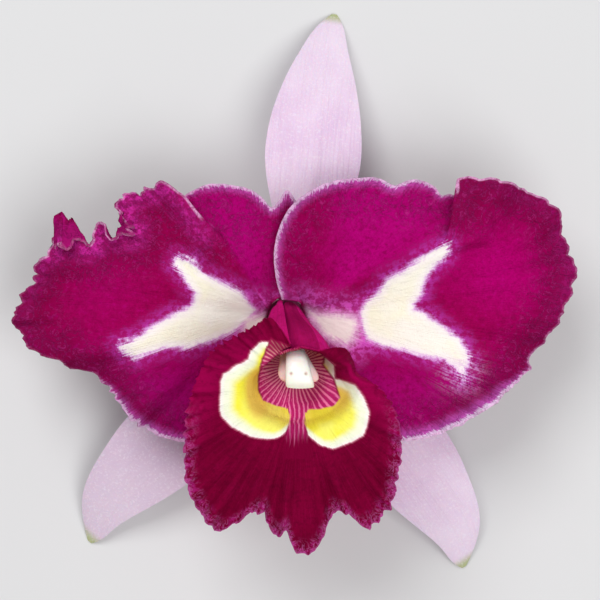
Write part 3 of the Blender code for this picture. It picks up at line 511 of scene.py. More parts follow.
def scalloped(crimps, angle, r, scallop):
    """How far the crimps move the margin outwards."""
    return scallop["share"] * waves(crimps, angle + scallop["shift"], scallop["power"], r)


def crinkle(x, y, size):
    """Uneven heights of -1 to 1, about as wide as size."""
    places = zip((x / size).tolist(), (y / size).tolist())
    return np.array([noise.noise((a, b, CRINKLE_LAYER)) for a, b in places])


def front_view(x, y, z):
    """Where a point is seen from the front, from the picture's distance."""
    nearer = VIEW_DISTANCE / (VIEW_DISTANCE - (z - VIEW_LEVEL))
    return x * nearer, (y - VIEW_MIDDLE) * nearer + VIEW_MIDDLE


def inside(outline, x, y):
    """How far points lie inside a closed outline, in millimetres, and less than 0 outside it."""
    corners = np.array(outline, float)
    nearest = np.full(np.shape(x), 1e9)
    within = np.zeros(np.shape(x), bool)
    for start, end in zip(corners, np.roll(corners, -1, axis=0)):
        run, rise = end - start
        t = np.clip(((x - start[0]) * run + (y - start[1]) * rise) / (run**2 + rise**2), 0, 1)
        nearest = np.minimum(nearest, np.hypot(x - start[0] - t * run, y - start[1] - t * rise))
        crosses = (start[1] > y) != (end[1] > y)
        level = np.where(rise == 0, 1.0, rise)
        within ^= crosses & (x < start[0] + (y - start[1]) / level * run)
    return np.where(within, nearest, -nearest)


def tube_middle(way):
    """Middle of the lip's tube at a share of the way from the ovary to the mouth."""
    moved = np.clip(way, 0, 1)
    share = TUBE_BEND * moved**2 + (1 - TUBE_BEND) * moved
    return ROOT_X + (MOUTH[0] - ROOT_X) * share, MOUTH[1] * share


def tube_room(z):
    """Middle and half width of the room that a petal leaves the tube at a height."""
    x, y = tube_middle(np.maximum(z - TUBE_ROOM_DROP, 0.0) / TUBE_BENT_BELOW)
    return x, y, TUBE_ROOM + TUBE_ROOM_GROWTH * np.maximum(z, 0.0)


def clear_of_tube(side, x, y, z):
    """Moves a petal's points out of the room that the lip's tube takes."""
    cx, cy, room = tube_room(z)
    cx = cx * side
    dx, dy = x - cx, y - cy
    away = np.maximum(np.hypot(dx, dy), 0.001)
    wanted = (away**ROOM_POWER + room**ROOM_POWER) ** (1 / ROOM_POWER)
    return cx + dx * wanted / away, cy + dy * wanted / away


def pleat_step(pleat, ray, out):
    """Height that the pleat gives a point at a distance from the claw, above on the outer lobe."""
    past = ray - pleat["ray"]
    grown = ease((out - pleat["from"]) / (pleat["to"] - pleat["from"]))
    fade = hump(past, 0, PLEAT_FADE)
    return -pleat["step"] / 2 * grown * np.tanh(past / pleat["width"]) * fade


def petal_level(side, x, y):
    """Height of the petal's plain arch, and of its rise over the heart."""
    out = np.hypot(x, y) / PETAL_REACH
    arch = PETAL_ARCH["height"] * np.sin(PETAL_ARCH["turn"] * out) - PETAL_ARCH["drop"] * out * out
    heart = (ROOT_X, HEART_RISE["y"])
    return arch + HEART_RISE["height"] * oval(side * x, y, heart, HEART_RISE["widths"])


def claw_points(petal, ray):
    first, last = petal["outline"][0][0], petal["outline"][-1][0]
    across = CLAW_HALF_WIDTH * ((ray - first) / (last - first) * 2 - 1)
    dx, dy = direction(CLAW_ROOT_ANGLE)
    root_x = petal["side"] * ROOT_X
    return root_x + CLAW_ROOT_RADIUS * dx - across * dy, CLAW_ROOT_RADIUS * dy + across * dx


def petal_spread(petal, r, ray, scallop):
    """Where the petal's points lie from the front, how high curls lift them, and how wide the
    frill is."""
    dx, dy = direction(ray + along(petal["bends"], ray))
    fan = along(petal["fan"], ray)
    margin = along(petal["outline"], ray) + scallop
    margin_dx, margin_dy = direction(ray + along(petal["turns"], ray))
    frill = np.maximum(r - FAN_SHARE, 0.0) / (1 - FAN_SHARE)
    amounts = [hump(ray, curl["ray"], curl["width"]) for curl in petal["curls"]]
    crest = 1 - CURL_SHARE * np.minimum(sum(amounts, 0 * ray), 1.0)
    out = np.minimum(frill / crest, 1.0)
    past_crest = np.maximum(frill - crest, 0.0) / np.maximum(1 - crest, 0.001)
    turned = np.where(crest < 0.999, past_crest, 0)
    plain = fan * np.minimum(r / FAN_SHARE, 1.0)
    foot_x, foot_y = claw_points(petal, ray)
    over_x, over_y = margin * margin_dx - fan * dx, margin * margin_dy - fan * dy
    x = foot_x + (CLAW[0] - foot_x) * r + plain * dx + over_x * out
    y = foot_y + (CLAW[1] - foot_y) * r + plain * dy + over_y * out
    lift = 0 * ray
    close, closer = CURL_RUFFLES
    for amount, curl in zip(amounts, petal["curls"]):
        ruffle = CURL_RUFFLE * amount * out
        x += curl["back"][0] * amount * turned + ruffle * crinkle(ray * close, r * closer, 1.0)
        y += curl["back"][1] * amount * turned + ruffle * crinkle(ray * close + 9, r * closer, 1.0)
        lift += curl["rise"] * amount * (1 - np.cos(math.pi * turned)) / 2
    return x, y, lift, np.hypot(over_x, over_y)


def petal_points(petal, crimps, r, ray):
    """Points of a petal, r being 0 at the claw and 1 at the margin, and how frilled it is there."""
    side, pleat = petal["side"], petal["pleat"]
    frilled = ramp(ray, WAVED_FROM, WAVED_FADE) * ramp(ray, WAVED_TO, -WAVED_FADE)
    waved = at_least(LEAST_WAVED, frilled)
    crimped = waved * uneven(ray, *PETAL_UNEVEN)
    scallop = scalloped(crimps, ray, r, PETAL_SCALLOP) * crimped
    jagged = sum(high * crinkle(ray * close, 0 * ray + row, 1.0) for high, close, row in JAGS)
    scallop += petal["jags"] * jagged * r**JAG_POWER * frilled
    x, y, lift, frill_width = petal_spread(petal, r, ray, scallop)
    lift += pleat_step(pleat, ray, np.hypot(x - CLAW[0], y - CLAW[1]))
    held = np.maximum(1 - r / CLAW_SHARE, 0.0) ** 2
    free = 1 - held
    pushed_x, pushed_y = clear_of_tube(side, x, y, petal_level(side, x, y))
    foot_x, foot_y = claw_points(petal, ray)
    x = pushed_x * free + foot_x * held
    y = pushed_y * free + foot_y * held

    calm = 1 - PLEAT_CALM["share"] * hump(ray, pleat["ray"], PLEAT_CALM["width"])
    lapped = 1 - ramp(x, LAPPED["x"], LAPPED["fades"])
    lapped *= ramp(y, LAPPED["y"], LAPPED["rises"])
    wave = waves(petal["waves"], ray, WAVE_POWER, r) * (waved * calm)
    wave += waves(crimps, ray, CRIMP_POWER, r) * crimped
    swell, rib = OUTER_SWELL, MIDRIB
    z = petal_level(side, x, y) * free
    z += swell["height"] * oval(x, y, swell["middle"], swell["widths"])
    opened = ramp(x, 0, rib["opens"]) * (1 - ramp(x, rib["fades"], rib["opens"]))
    z -= rib["depth"] * hump(y - rib["slope"] * x, 0, rib["width"]) * opened
    margin = r**FALL_POWER
    upper = UPPER_FALL["height"] * ramp(ray, UPPER_FALL["ray"], UPPER_FALL["over"])
    lower = LOWER_FALL["height"] * ramp(ray, LOWER_FALL["ray"], LOWER_FALL["over"])
    z += (wave - upper * margin) * (1 - lapped) - lower * margin + lift
    z += petal["lap"] * lapped * free
    length = along(petal["fan"], ray) / FAN_SHARE
    frill_length = np.maximum(frill_width / (1 - FAN_SHARE), length)
    from_rim = (1 - r) * np.where(r > FAN_SHARE, frill_length, length)
    rough = ramp(r, *CRINKLE_STARTS) * at_least(CRINKLE_LEAST, ramp(from_rim, *CRINKLE_GROWS))
    z += CRINKLE * rough * crinkle(x * side, y, CRINKLE_SIZE)
    z = np.maximum(z, 0.0) + PETAL_ROOT_LEVEL * (1 - ease(r / CLAW_FOOT_SHARE))
    return side * x, y, z, frilled


def sepal_points(sepal, u, v):
    """Points of a sepal, u along it from 0 to 1 and v across it from -1 to 1, and its half
    width."""
    dx, dy = direction(sepal["root"])
    root = np.array([SEPAL_ROOT_RADIUS * dx, SEPAL_ROOT_RADIUS * dy])
    tip = np.array(sepal["tip"], float)
    axis = (tip - root) / np.linalg.norm(tip - root)
    turned = ease(u / SEPAL_TURN)
    leaving = np.stack([dx * (1 - turned) + axis[0] * turned, dy * (1 - turned) + axis[1] * turned])
    leaving /= np.hypot(*leaving)
    half = along(sepal["widths"], u)
    bow = along(sepal["bow"], u)
    x = root[0] + (tip[0] - root[0]) * u - axis[1] * bow - leaving[1] * half * v
    x += ROOT_X * (1 - turned)
    y = root[1] + (tip[1] - root[1]) * u + axis[0] * bow + leaving[0] * half * v
    fall = HEART.z + SEPAL_LEVEL - SEPAL_THICK / 2 + SEPAL_SINK
    straight = SEPAL_FALL["straight"]
    z = SEPAL_LEVEL - fall * (straight * u + (1 - straight) * u ** SEPAL_FALL["power"])
    crown = SEPAL_CROWN["height"] * (1 - (1 - SEPAL_CROWN["tip_share"]) * u)
    z -= crown * v * v * np.sin(math.pi * u)
    rib = SEPAL_RIB["height"] * hump(v, 0, SEPAL_RIB["width"])
    z += rib * ease(u / SEPAL_RIB["starts"]) * (1 - u)
    return x, y, z, half


def lip_points(s, angle):
    """Points of the lip, s being 0 at its root and 1 at its margin, and how far each lies in from
    the margin."""
    dx, dy = direction(angle)
    low, high = np.maximum(-dy, 0.0), np.maximum(dy, 0.0)
    margin = along(LIP_OUTLINE, angle)
    throat = np.hypot(THROAT_HALF_WIDTH * dx, np.where(dy > 0, THROAT_ABOVE, THROAT_BELOW) * dy)
    tube = np.hypot(TUBE_HALF_WIDTH * dx, TUBE_HALF_HEIGHT * dy)
    hooded = ease(high * HOOD_STARTS)
    claw = LIP_CLAW["drop"] * hump(dx, 0, LIP_CLAW["width"]) * (dy < 0)
    throat_level = THROAT_LEVEL["middle"] - THROAT_LEVEL["fall_below"] * low
    throat_level += THROAT_LEVEL["rise_above"] * high
    crest = throat + CREST_WIDTH + (HOOD_CREST_WIDTH - CREST_WIDTH) * hooded
    crest = np.minimum(crest, (throat + margin) / 2)
    crest_level = CREST_LEVEL["middle"] - CREST_LEVEL["fall_below"] * low
    crest_level -= CREST_LEVEL["hood_drop"] * hooded
    beyond = np.maximum(margin - crest, 0)
    margin_level = crest_level + HOOD_RISE * hooded * high
    margin_level -= SKIRT_SLOPE * beyond + SKIRT_CURVE * beyond**2
    shares = [0.0, TUBE_SHARE, THROAT_SHARE, CREST_SHARE, 1.0]
    radii = [LIP_ROOT_RADIUS, tube, throat * THROAT_NARROWS, crest, margin]
    levels = [LIP_ROOT_LEVEL - claw, TUBE_LEVEL, throat_level, crest_level, margin_level]
    radius, level = through(shares, radii, s), through(shares, levels, s)
    over = ramp(angle, *LAP_OVER) - ramp(angle, *LAP_UNDER)
    radius += LIP_LAP_GAP / 2 * over
    level += LIP_LAP_RISE * over * ramp(s, TUBE_SHARE, LIP_LAP_SHARE)
    free = ramp(s, LIP_WAVED_FROM, 1 - LIP_WAVED_FROM)
    skirt = ramp(angle, *SKIRT_TO) * ramp(angle, *SKIRT_FROM)
    level += waves(LIP_WAVES, angle) * free**LIP_WAVE_POWER * at_least(LEAST_LIP_WAVED, skirt)
    level += MIDLOBE["rise"] * hump(angle, MIDLOBE["angle"], MIDLOBE["width"]) * free
    past_crest = np.maximum(s - CREST_SHARE, 0.0) / (1 - CREST_SHARE)
    for roll in LIP_ROLLS:
        bulge = roll["rise"] * np.sin(math.pi * past_crest) - roll["drop"] * past_crest**2
        level += bulge * hump(angle, roll["angle"], roll["width"])
    crimped = at_least(LEAST_LIP_CRIMPED, skirt) * uneven(angle, *LIP_UNEVEN)
    level += waves(LIP_CRIMPS, angle, CRIMP_POWER, s) * crimped
    radius += scalloped(LIP_CRIMPS, angle, s, LIP_SCALLOP) * crimped
    middle_x, middle_y = tube_middle(s / TUBE_BENT_SHARE)
    x, y = middle_x + radius * dx, middle_y + radius * dy
    rim = np.maximum(1 - s, 0) / (1 - CREST_SHARE) * (margin - crest)
    level += CRINKLE * free * crinkle(x, y, CRINKLE_SIZE)
    return x, y, level, rim


def from_margin(u, v, x, y, z):
    """How far each point of a sheet lies from the edge at which v is 1."""
    edge = np.flatnonzero(v > 0.9999)
    edge = edge[np.argsort(u[edge])]
    points = np.stack([x, y, z], axis=1)
    ends = points[edge]
    nearest = np.full(len(x), 1e9)
    for start, run in zip(ends[:-1], np.diff(ends, axis=0)):
        t = np.clip((points - start) @ run / (run @ run), 0, 1)
        nearest = np.minimum(nearest, np.linalg.norm(points - start - t[:, None] * run, axis=1))
    return nearest


def new_sheet(columns, rows):
    """A flat sheet and the places of its points, 0 to 1 each way."""
    sheet = bmesh.new()
    bmesh.ops.create_grid(sheet, x_segments=columns, y_segments=rows, size=0.5)
    flat = np.array([vert.co[:] for vert in sheet.verts])
    return sheet, flat[:, 0] + 0.5, flat[:, 1] + 0.5


def shape_sheet(sheet, x, y, z, marks):
    """Puts the sheet's points in place and writes each marking's value on them."""
    for vert, place in zip(sheet.verts, np.stack([x, y, z], axis=1).tolist()):
        vert.co = place
    for name, values in marks.items():
        layer = sheet.verts.layers.float.new(name)
        for vert, value in zip(sheet.verts, np.broadcast_to(values, np.shape(x)).tolist()):
            vert[layer] = value


def thicken(sheet, half, back=0.0):
    """Gives a sheet its thickness. Points of its back face are marked as outside. back is 1.0
    where the sheet's own normals point backwards."""
    outside = sheet.verts.layers.float.new("outside")
    sheet.normal_update()
    tops = sheet.verts[:]
    offsets = [vert.normal * depth for vert, depth in zip(tops, half.tolist())]
    made = bmesh.ops.duplicate(sheet, geom=sheet.verts[:] + sheet.edges[:] + sheet.faces[:])
    copies = made["vert_map"]
    faces = [item for item in made["geom"] if isinstance(item, bmesh.types.BMFace)]
    bmesh.ops.reverse_faces(sheet, faces=faces)
    for vert, offset in zip(tops, offsets):
        lower = copies[vert]
        lower.co = vert.co - offset
        lower[outside] = 1.0 - back
        vert.co = vert.co + offset
        vert[outside] = back
    bmesh.ops.bridge_loops(sheet, edges=[edge for edge in sheet.edges if edge.is_boundary])
    bmesh.ops.recalc_face_normals(sheet, faces=sheet.faces[:])


def add_object(name, data):
    made = bpy.data.objects.new(name, data)
    bpy.context.scene.collection.objects.link(made)
    return made


def add_mesh(name, shape, material):
    """Puts a shape in the scene as an object of one material."""
    mesh = bpy.data.meshes.new(name)
    shape.to_mesh(mesh)
    shape.free()
    mesh.materials.append(material)
    return add_object(name, mesh)


def finish_piece(name, shape, material, node):
    """Makes a piece of a shape in millimetres from the heart. It stands for a solid."""
    for vert in shape.verts:
        vert.co.z = max(vert.co.z, -HEART.z)
    bmesh.ops.transform(shape, matrix=TO_METRES, verts=shape.verts[:])
    piece = add_mesh(name, shape, material)
    piece.data.shade_smooth()
    piece.data.set_sharp_from_angle(angle=math.radians(SHARP_ANGLE))
    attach(piece, "root")
    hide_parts(node)


class Value:
    """What a material's node gives out, which can be added to, taken from and multiplied."""

    def __init__(self, finish, socket):
        self.finish, self.socket = finish, socket

    def __add__(self, other):
        return self.finish.math("ADD", self, other)

    def __sub__(self, other):
        return self.finish.math("SUBTRACT", self, other)

    def __rsub__(self, other):
        return self.finish.math("SUBTRACT", other, self)

    def __mul__(self, other):
        return self.finish.math("MULTIPLY", self, other)

    __radd__, __rmul__ = __add__, __mul__


class Finish:
    """A material's nodes, with short calls for the ones used here. paint lays one colour over
    those before it."""

    def __init__(self, name, constants):
        self.material = bpy.data.materials.new(name)
        self.material.use_nodes = True
        self.tree = self.material.node_tree
        self.shader = self.tree.nodes["Principled BSDF"]
        self.colour = None
        for socket, value in constants.items():
            self.shader.inputs[socket].default_value = value

    def feed(self, socket, value):
        if isinstance(value, Value):
            self.tree.links.new(value.socket, socket)
        else:
            socket.default_value = value

    def node(self, kind, *inputs, **settings):
        made = self.tree.nodes.new(kind)
        for key, value in settings.items():
            setattr(made, key, value)
        for socket, value in zip(made.inputs, inputs):
            self.feed(socket, value)
        return made

    def out(self, kind, output, *inputs, **settings):
        return Value(self, self.node(kind, *inputs, **settings).outputs[output])

    def math(self, operation, *inputs):
        return self.out("ShaderNodeMath", 0, *inputs, operation=operation)

    def mark(self, name):
        return self.out("ShaderNodeAttribute", "Fac", attribute_name=name)

    def place(self):
        return self.out("ShaderNodeTexCoord", "Object")

    def vector(self, x, y):
        return self.out("ShaderNodeCombineXYZ", 0, x, y, 0.0)

    def step(self, value, low, high):
        """Rises smoothly from 0 where the value is low to 1 where it is high."""
        made = self.node("ShaderNodeMapRange", interpolation_type="SMOOTHSTEP")
        for socket, given in zip(("Value", "From Min", "From Max"), (value, low, high)):
            self.feed(made.inputs[socket], given)
        return Value(self, made.outputs[0])

    def noise(self, where, scale, detail, roughness=0.5, bend=0.0):
        made = self.node("ShaderNodeTexNoise")
        for socket, given in (("Vector", where), ("Scale", scale), ("Detail", detail),
                              ("Roughness", roughness), ("Distortion", bend)):
            self.feed(made.inputs[socket], given)
        return Value(self, made.outputs["Fac"])

    def veins(self, across, lengthwise, detail, roughness):
        """Noise drawn out along the veins."""
        return self.noise(self.vector(across, lengthwise), 1.0, detail, roughness)

    def cells(self, where, scale):
        made = self.node("ShaderNodeTexVoronoi")
        self.feed(made.inputs["Vector"], where)
        self.feed(made.inputs["Scale"], scale)
        return Value(self, made.outputs["Distance"])

    def threads(self, value, width):
        """Thin lines where a cloudy value passes its middle, 1 on the line and 0 beside it."""
        return self.step(self.math("ABSOLUTE", value - 0.5), width, 0.0)

    def mix(self, share, first, second):
        made = self.node("ShaderNodeMix", data_type="RGBA")
        self.feed(made.inputs[0], share)
        for socket, colour in ((made.inputs[6], first), (made.inputs[7], second)):
            self.feed(socket, colour if isinstance(colour, Value) else (*colour, 1))
        return Value(self, made.outputs[2])

    def paint(self, share, colour):
        self.colour = self.mix(share, self.colour, colour)

    def done(self, relief=None, depth=0.0):
        """The finished material, with its relief as bumps of up to depth in metres."""
        self.feed(self.shader.inputs["Base Color"], self.colour)
        if relief is not None:
            bump = self.node("ShaderNodeBump")
            bump.inputs["Distance"].default_value = depth
            self.feed(bump.inputs["Height"], relief)
            self.feed(self.shader.inputs["Normal"], Value(self, bump.outputs[0]))
        return self.material


def petal_finish():
    f = Finish("petal_velvet", {"Roughness": 0.75, "Specular IOR Level": 0.008})
    here = f.place()
    ray, reach, rim, pale = f.mark("ray"), f.mark("reach"), f.mark("rim"), f.mark("pale")
    veins = f.veins(ray * 0.5, reach * 0.05, 3.0, 0.6)
    fine_veins = f.veins(ray * 1.8, reach * 0.09, 2.0, 0.6)
    speckle = f.noise(here, 1500.0, 3.0, 0.7)
    mottle = f.noise(here, 620.0, 3.0, 0.7)
    clouds = f.noise(here, 90.0, 3.0)
    creases = f.threads(f.noise(here, 330.0, 3.0, 0.65, 1.5), 0.045)
    # How far a marking's edge is feathered out, in millimetres
    feather = (
        (veins - 0.5) * 4.0 + (fine_veins - 0.5) * 4.5 + (speckle - 0.5) * 4.0
        + (mottle - 0.5) * 3.0
    )

    # The ground, from crimson to magenta, darker towards the frill
    f.colour = f.mix(f.step(clouds, 0.3, 0.7), (0.29, 0.0005, 0.068), (0.35, 0.0004, 0.1))
    for name, colour in (
        ("warm", (0.285, 0.001, 0.056)), ("wedge", (0.3, 0.001, 0.056)),
        ("glow", (0.48, 0.0002, 0.165)), ("inner", (0.45, 0.0012, 0.178)),
        ("low", (0.37, 0.002, 0.165)),
    ):
        f.paint(f.mark(name), colour)
    dusk = (f.mark("frill") * 0.8 + 0.2) * f.step(rim + feather * 1.2, 11.0, 2.5)
    f.paint(dusk * 0.72, (0.165, 0.002, 0.034))
    f.paint(f.step(speckle, 0.42, 0.62) * 0.34, (0.22, 0.0005, 0.055))
    calmer = 1.0 - f.mark("glow") * 0.75
    f.paint(f.step(mottle, 0.48, 0.68) * 0.5 * calmer, (0.19, 0.0012, 0.042))
    f.paint(f.step(mottle, 0.46, 0.26) * 0.3, (0.52, 0.004, 0.24))
    f.paint(f.step(fine_veins, 0.5, 0.7) * 0.16, (0.2, 0.001, 0.06))
    creased = (f.step(rim, 15.0, 6.0) * 0.8 + 0.06) * creases
    f.paint(creased * 0.5, (0.45, 0.03, 0.22))
    # The petals' cell texture, with painted glints for its sparkle
    f.paint(f.step(f.cells(here, 2300.0), 0.3, 0.05) * 0.12, (0.6, 0.04, 0.34))

    # The blaze, the streaks that run out of it and the pale patch at the claw
    blaze = f.mark("blaze") + feather * (f.mark("fray") * 0.5 + 0.36)
    flecked = f.step(mottle, 0.42, 0.6) * 0.75 + 0.25
    f.paint(f.step(blaze, -5.0, 0.0) * (flecked * 0.8), (0.52, 0.045, 0.42))
    f.paint(f.step(blaze, -1.1, 0.2), (0.72, 0.36, 0.76))
    f.paint(f.step(blaze, -0.35, 0.8), (0.97, 0.9, 0.88))
    cream = f.mix(f.step(clouds, 0.35, 0.65), (0.97, 0.93, 0.74), (0.98, 0.94, 0.85))
    f.paint(f.step(blaze, 0.6, 2.8), cream)
    f.paint(f.step(feather, -0.6, 1.2) * f.mark("streaks") * 0.8, (0.78, 0.48, 0.82))
    patch = f.mark("patch") + feather * 0.55
    near_patch = f.step(patch, -9.0, -0.5) * (flecked * 0.95) * f.step(blaze, 0.8, -0.6)
    f.paint(near_patch, (0.74, 0.1, 0.58))
    f.paint(f.step(patch, -2.6, 0.8) * f.step(blaze, 1.2, -0.4) * 0.85, (0.84, 0.44, 0.74))
    f.paint(f.step(patch, -0.6, 1.8), (0.97, 0.82, 0.8))
    # Painted shade: a dark crimson band round the gap at the lip's tube
    f.paint(f.mark("tube_shade"), (0.42, 0.004, 0.12))

    # The margin: its bright frill, pale fringe and thin light line
    bright = f.step(rim + feather * 0.6, 6.5, 1.5) * flecked
    f.paint(bright * f.mark("frilly"), (0.62, 0.025, 0.33))
    fringe = rim + (fine_veins - 0.5) * 2.6 + (speckle - 0.5) * 1.8
    f.paint(f.step(fringe, pale * 4.6, pale * 0.4) * (pale * 0.85), (0.56, 0.1, 0.5))
    f.paint(f.step(fringe, pale * 1.5, pale * 0.5) * pale, (0.8, 0.6, 0.83))
    broken = f.step(mottle, 0.4, 0.56) * 0.6 + 0.4
    f.paint(f.step(rim, 0.75, 0.35) * f.mark("line") * broken, (0.74, 0.34, 0.6))
    backed = f.mix(f.step(mottle, 0.35, 0.65), (0.42, 0.006, 0.17), (0.25, 0.002, 0.07))
    f.paint(f.mark("outside") * 0.75, backed)
    relief = (fine_veins * 0.8 + speckle * 0.5) + (creased * 0.6 + mottle * 0.9)
    return f.done(relief, 0.0003)


def sepal_finish():
    f = Finish("sepal_skin", {
        "Roughness": 0.5, "Specular IOR Level": 0.25, "Subsurface Weight": 0.1,
        "Subsurface Scale": 0.002,
    })
    here = f.place()
    across, lengthwise, upper = f.mark("across"), f.mark("along"), f.mark("upper")
    veins = f.veins(across * 1.5, lengthwise * 0.04, 2.0, 0.55)
    fine = f.veins(across * 4.0, lengthwise * 0.16, 2.0, 0.6)
    clouds = f.noise(here, 60.0, 3.0)
    speckle = f.noise(here, 1400.0, 2.0, 0.7)
    f.colour = f.mix(f.step(clouds, 0.3, 0.7), (0.77, 0.56, 0.78), (0.86, 0.68, 0.86))
    f.paint(f.step(veins, 0.42, 0.75) * 0.26, (0.68, 0.43, 0.65))
    f.paint(f.step(fine, 0.45, 0.75) * 0.14, (0.7, 0.42, 0.62))
    f.paint(f.step(upper, 0.55, 0.9) * 0.4, (0.95, 0.86, 0.95))
    # Painted shade: greyer on the lateral sepals, most on the left one
    f.paint(f.mark("sepal_shade") * 0.55, (0.62, 0.49, 0.61))
    # Greenish at the foot and the tip
    f.paint(f.step(upper, 0.2, 0.02) * 0.5, (0.66, 0.66, 0.5))
    f.paint(f.step(upper, 0.955, 0.995), (0.46, 0.5, 0.26))
    f.paint(f.step(speckle, 0.5, 0.7) * 0.35, (0.95, 0.88, 0.96))
    # Painted shade: the root, seen in the gap round the lip's tube, is painted dark crimson
    f.paint(f.step(upper, 0.1, 0.07), (0.3, 0.02, 0.12))
    return f.done(veins * 0.8 + (fine * 0.25 + speckle * 0.5), 0.00025)


def lip_finish():
    f = Finish("lip_velvet", {"Roughness": 0.75, "Specular IOR Level": 0.015})
    here = f.place()
    ray, rim, inner, skirt = f.mark("ray"), f.mark("rim"), f.mark("throat"), f.mark("skirt")
    veins = f.veins(ray * 0.4, rim * 0.06, 3.0, 0.6)
    fine_veins = f.veins(ray * 1.4, rim * 0.14, 2.0, 0.6)
    speckle = f.noise(here, 1300.0, 3.0, 0.7)
    mottle = f.noise(here, 560.0, 3.0, 0.7)
    clouds = f.noise(here, 110.0, 3.0)
    creases = f.threads(f.noise(here, 360.0, 3.0, 0.65, 1.5), 0.05)
    feather = (veins - 0.5) * 3.2 + (fine_veins - 0.5) * 3.2

    # The skirt, dark crimson with a brighter frill
    f.colour = f.mix(f.step(clouds, 0.3, 0.7), (0.155, 0.0004, 0.022), (0.2, 0.0005, 0.03))
    f.paint(f.step(veins, 0.4, 0.7) * 0.35, (0.26, 0.0008, 0.042))
    f.paint(f.step(fine_veins, 0.5, 0.7) * 0.25, (0.33, 0.003, 0.07))
    f.paint(f.step(speckle, 0.45, 0.65) * 0.3, (0.1, 0.0003, 0.014))
    f.paint(f.mark("bright") * 0.8, (0.36, 0.0012, 0.075))
    f.paint(f.step(mottle, 0.48, 0.7) * 0.4, (0.1, 0.0006, 0.018))
    frill = rim + feather * 0.5
    frilly = f.step(frill, 5.0, 1.0) * f.step(mottle, 0.55, 0.35)
    f.paint(frilly * 0.75 * skirt, (0.4, 0.018, 0.19))
    f.paint(f.step(frill, 5.0, 1.0) * creases * skirt * 0.4, (0.6, 0.16, 0.45))
    f.paint(f.step(frill, 0.8, 0.0) * 0.6 * skirt, (0.5, 0.09, 0.34))

    # The eyes: a pale rim, then gold, with orange painted shade in the folds beside the throat
    eye = f.mark("eye") + feather * 0.16
    f.paint(f.step(eye, -0.6, 0.05), (0.6, 0.16, 0.26))
    f.paint(f.step(eye, -0.2, 0.3), (0.97, 0.92, 0.86))
    f.paint(f.step(eye, 0.4, 1.5), (0.93, 0.96, 0.74))
    gold = f.mix(f.step(clouds, 0.35, 0.65), (0.97, 0.88, 0.06), (0.97, 0.93, 0.16))
    f.paint(f.step(eye, 1.8, 5.2), gold)
    fold = f.mark("fold") + (clouds - 0.5) * 0.5
    f.paint(f.step(fold, 0.25, 1.1) * f.step(eye, 1.8, 4.0) * 0.75, (0.9, 0.54, 0.1))

    # The throat's stripes, which fork here and there, and the band of lines below its middle
    swayed = f.mark("fan") + (f.noise(here, 130.0, 2.0) - 0.5) * 3.6
    forked = f.step(f.noise(here, 170.0, 1.0), 0.4, 0.6)
    lines = f.math("SINE", swayed * math.radians(50)) * (1.0 - forked * 0.5)
    lines += f.math("SINE", swayed * math.radians(100)) * (forked * 0.5)
    wandering = (f.noise(here, 200.0, 2.0) - 0.5) * 1.1
    band_lines = f.math("SINE", (f.mark("beside") + wandering) * (2 * math.pi / BAND_LINE))
    in_band = f.mark("band")
    lines = lines * (1.0 - in_band) + band_lines * in_band
    depth = f.step(f.mark("depth"), 0.0, 1.0)
    lines += (1.0 - depth) * 0.35
    dark = f.step(lines + (speckle - 0.5) * 1.4, -0.35, 0.4)
    # Painted shade: the throat's stripes turn duller towards the hood
    shade = f.mark("shade")
    light = f.mix(depth, (0.99, 0.24, 0.52), (0.99, 0.4, 0.55))
    light = f.mix(shade, light, (0.97, 0.4, 0.38))
    ground = f.mix(shade, (0.56, 0.005, 0.16), (0.52, 0.014, 0.11))
    striped = f.mix(dark * 0.93, light, ground)
    # Painted shadow of the hood, darkest just under its rim
    striped = f.mix(f.mark("under"), striped, (0.24, 0.006, 0.05))
    fading = f.step(f.mark("down") + feather * 1.8, 27.0, 34.0)
    striped = f.mix(fading, striped, (0.19, 0.0006, 0.03))
    throat = inner + feather * (in_band * 0.35 + 0.14)
    edge = f.step(throat, -0.5, 0.0) * f.step(throat, 0.5, 0.05)
    f.paint(f.step(throat, -0.3, 0.2), striped)
    # Painted shadow: a dark line along the throat's rim, on its upper sides
    f.paint(edge * (f.mark("wall") * 0.8), (0.32, 0.004, 0.06))
    f.paint(f.mark("hood"), (0.3, 0.003, 0.07))

    # The tube's and the skirt's outer side
    outer = f.mix(f.step(veins, 0.35, 0.7), (0.68, 0.009, 0.18), (0.8, 0.013, 0.27))
    outer = f.mix(f.step(speckle, 0.45, 0.65) * 0.35, outer, (0.8, 0.015, 0.34))
    outer = f.mix(f.step(mottle, 0.5, 0.7) * 0.35, outer, (0.36, 0.003, 0.08))
    outer = f.mix(f.step(rim, 1.0, 0.2) * 0.6, outer, (0.24, 0.002, 0.04))
    f.paint(f.mark("outside"), outer)
    return f.done(fine_veins * 0.8 + (speckle * 0.5 + mottle * 0.6), 0.0003)


def wax(name, roughness, specular):
    return Finish(name, {
        "Roughness": roughness, "Specular IOR Level": specular, "Subsurface Weight": 0.2,
        "Subsurface Scale": 0.002,
    })


def column_finish():
    f = wax("column_wax", 0.4, 0.35)
    clouds = f.noise(f.place(), 240.0, 3.0)
    f.colour = f.mix(f.step(clouds, 0.3, 0.7), (0.98, 0.86, 0.83), (0.99, 0.91, 0.88))
    f.paint(f.mark("wing"), (0.93, 0.62, 0.62))
    return f.done(clouds, 0.0002)


def cap_finish():
    f = wax("anther_cap_wax", 0.34, 0.4)
    clouds = f.noise(f.place(), 420.0, 3.0)
    f.colour = f.mix(f.step(clouds, 0.3, 0.7), (0.95, 0.94, 0.84), (0.98, 0.98, 0.92))
    f.paint(f.mark("upper"), (0.99, 0.93, 0.91))
    f.paint(f.mark("pit"), (0.5, 0.26, 0.2))
    return f.done(clouds, 0.0002)


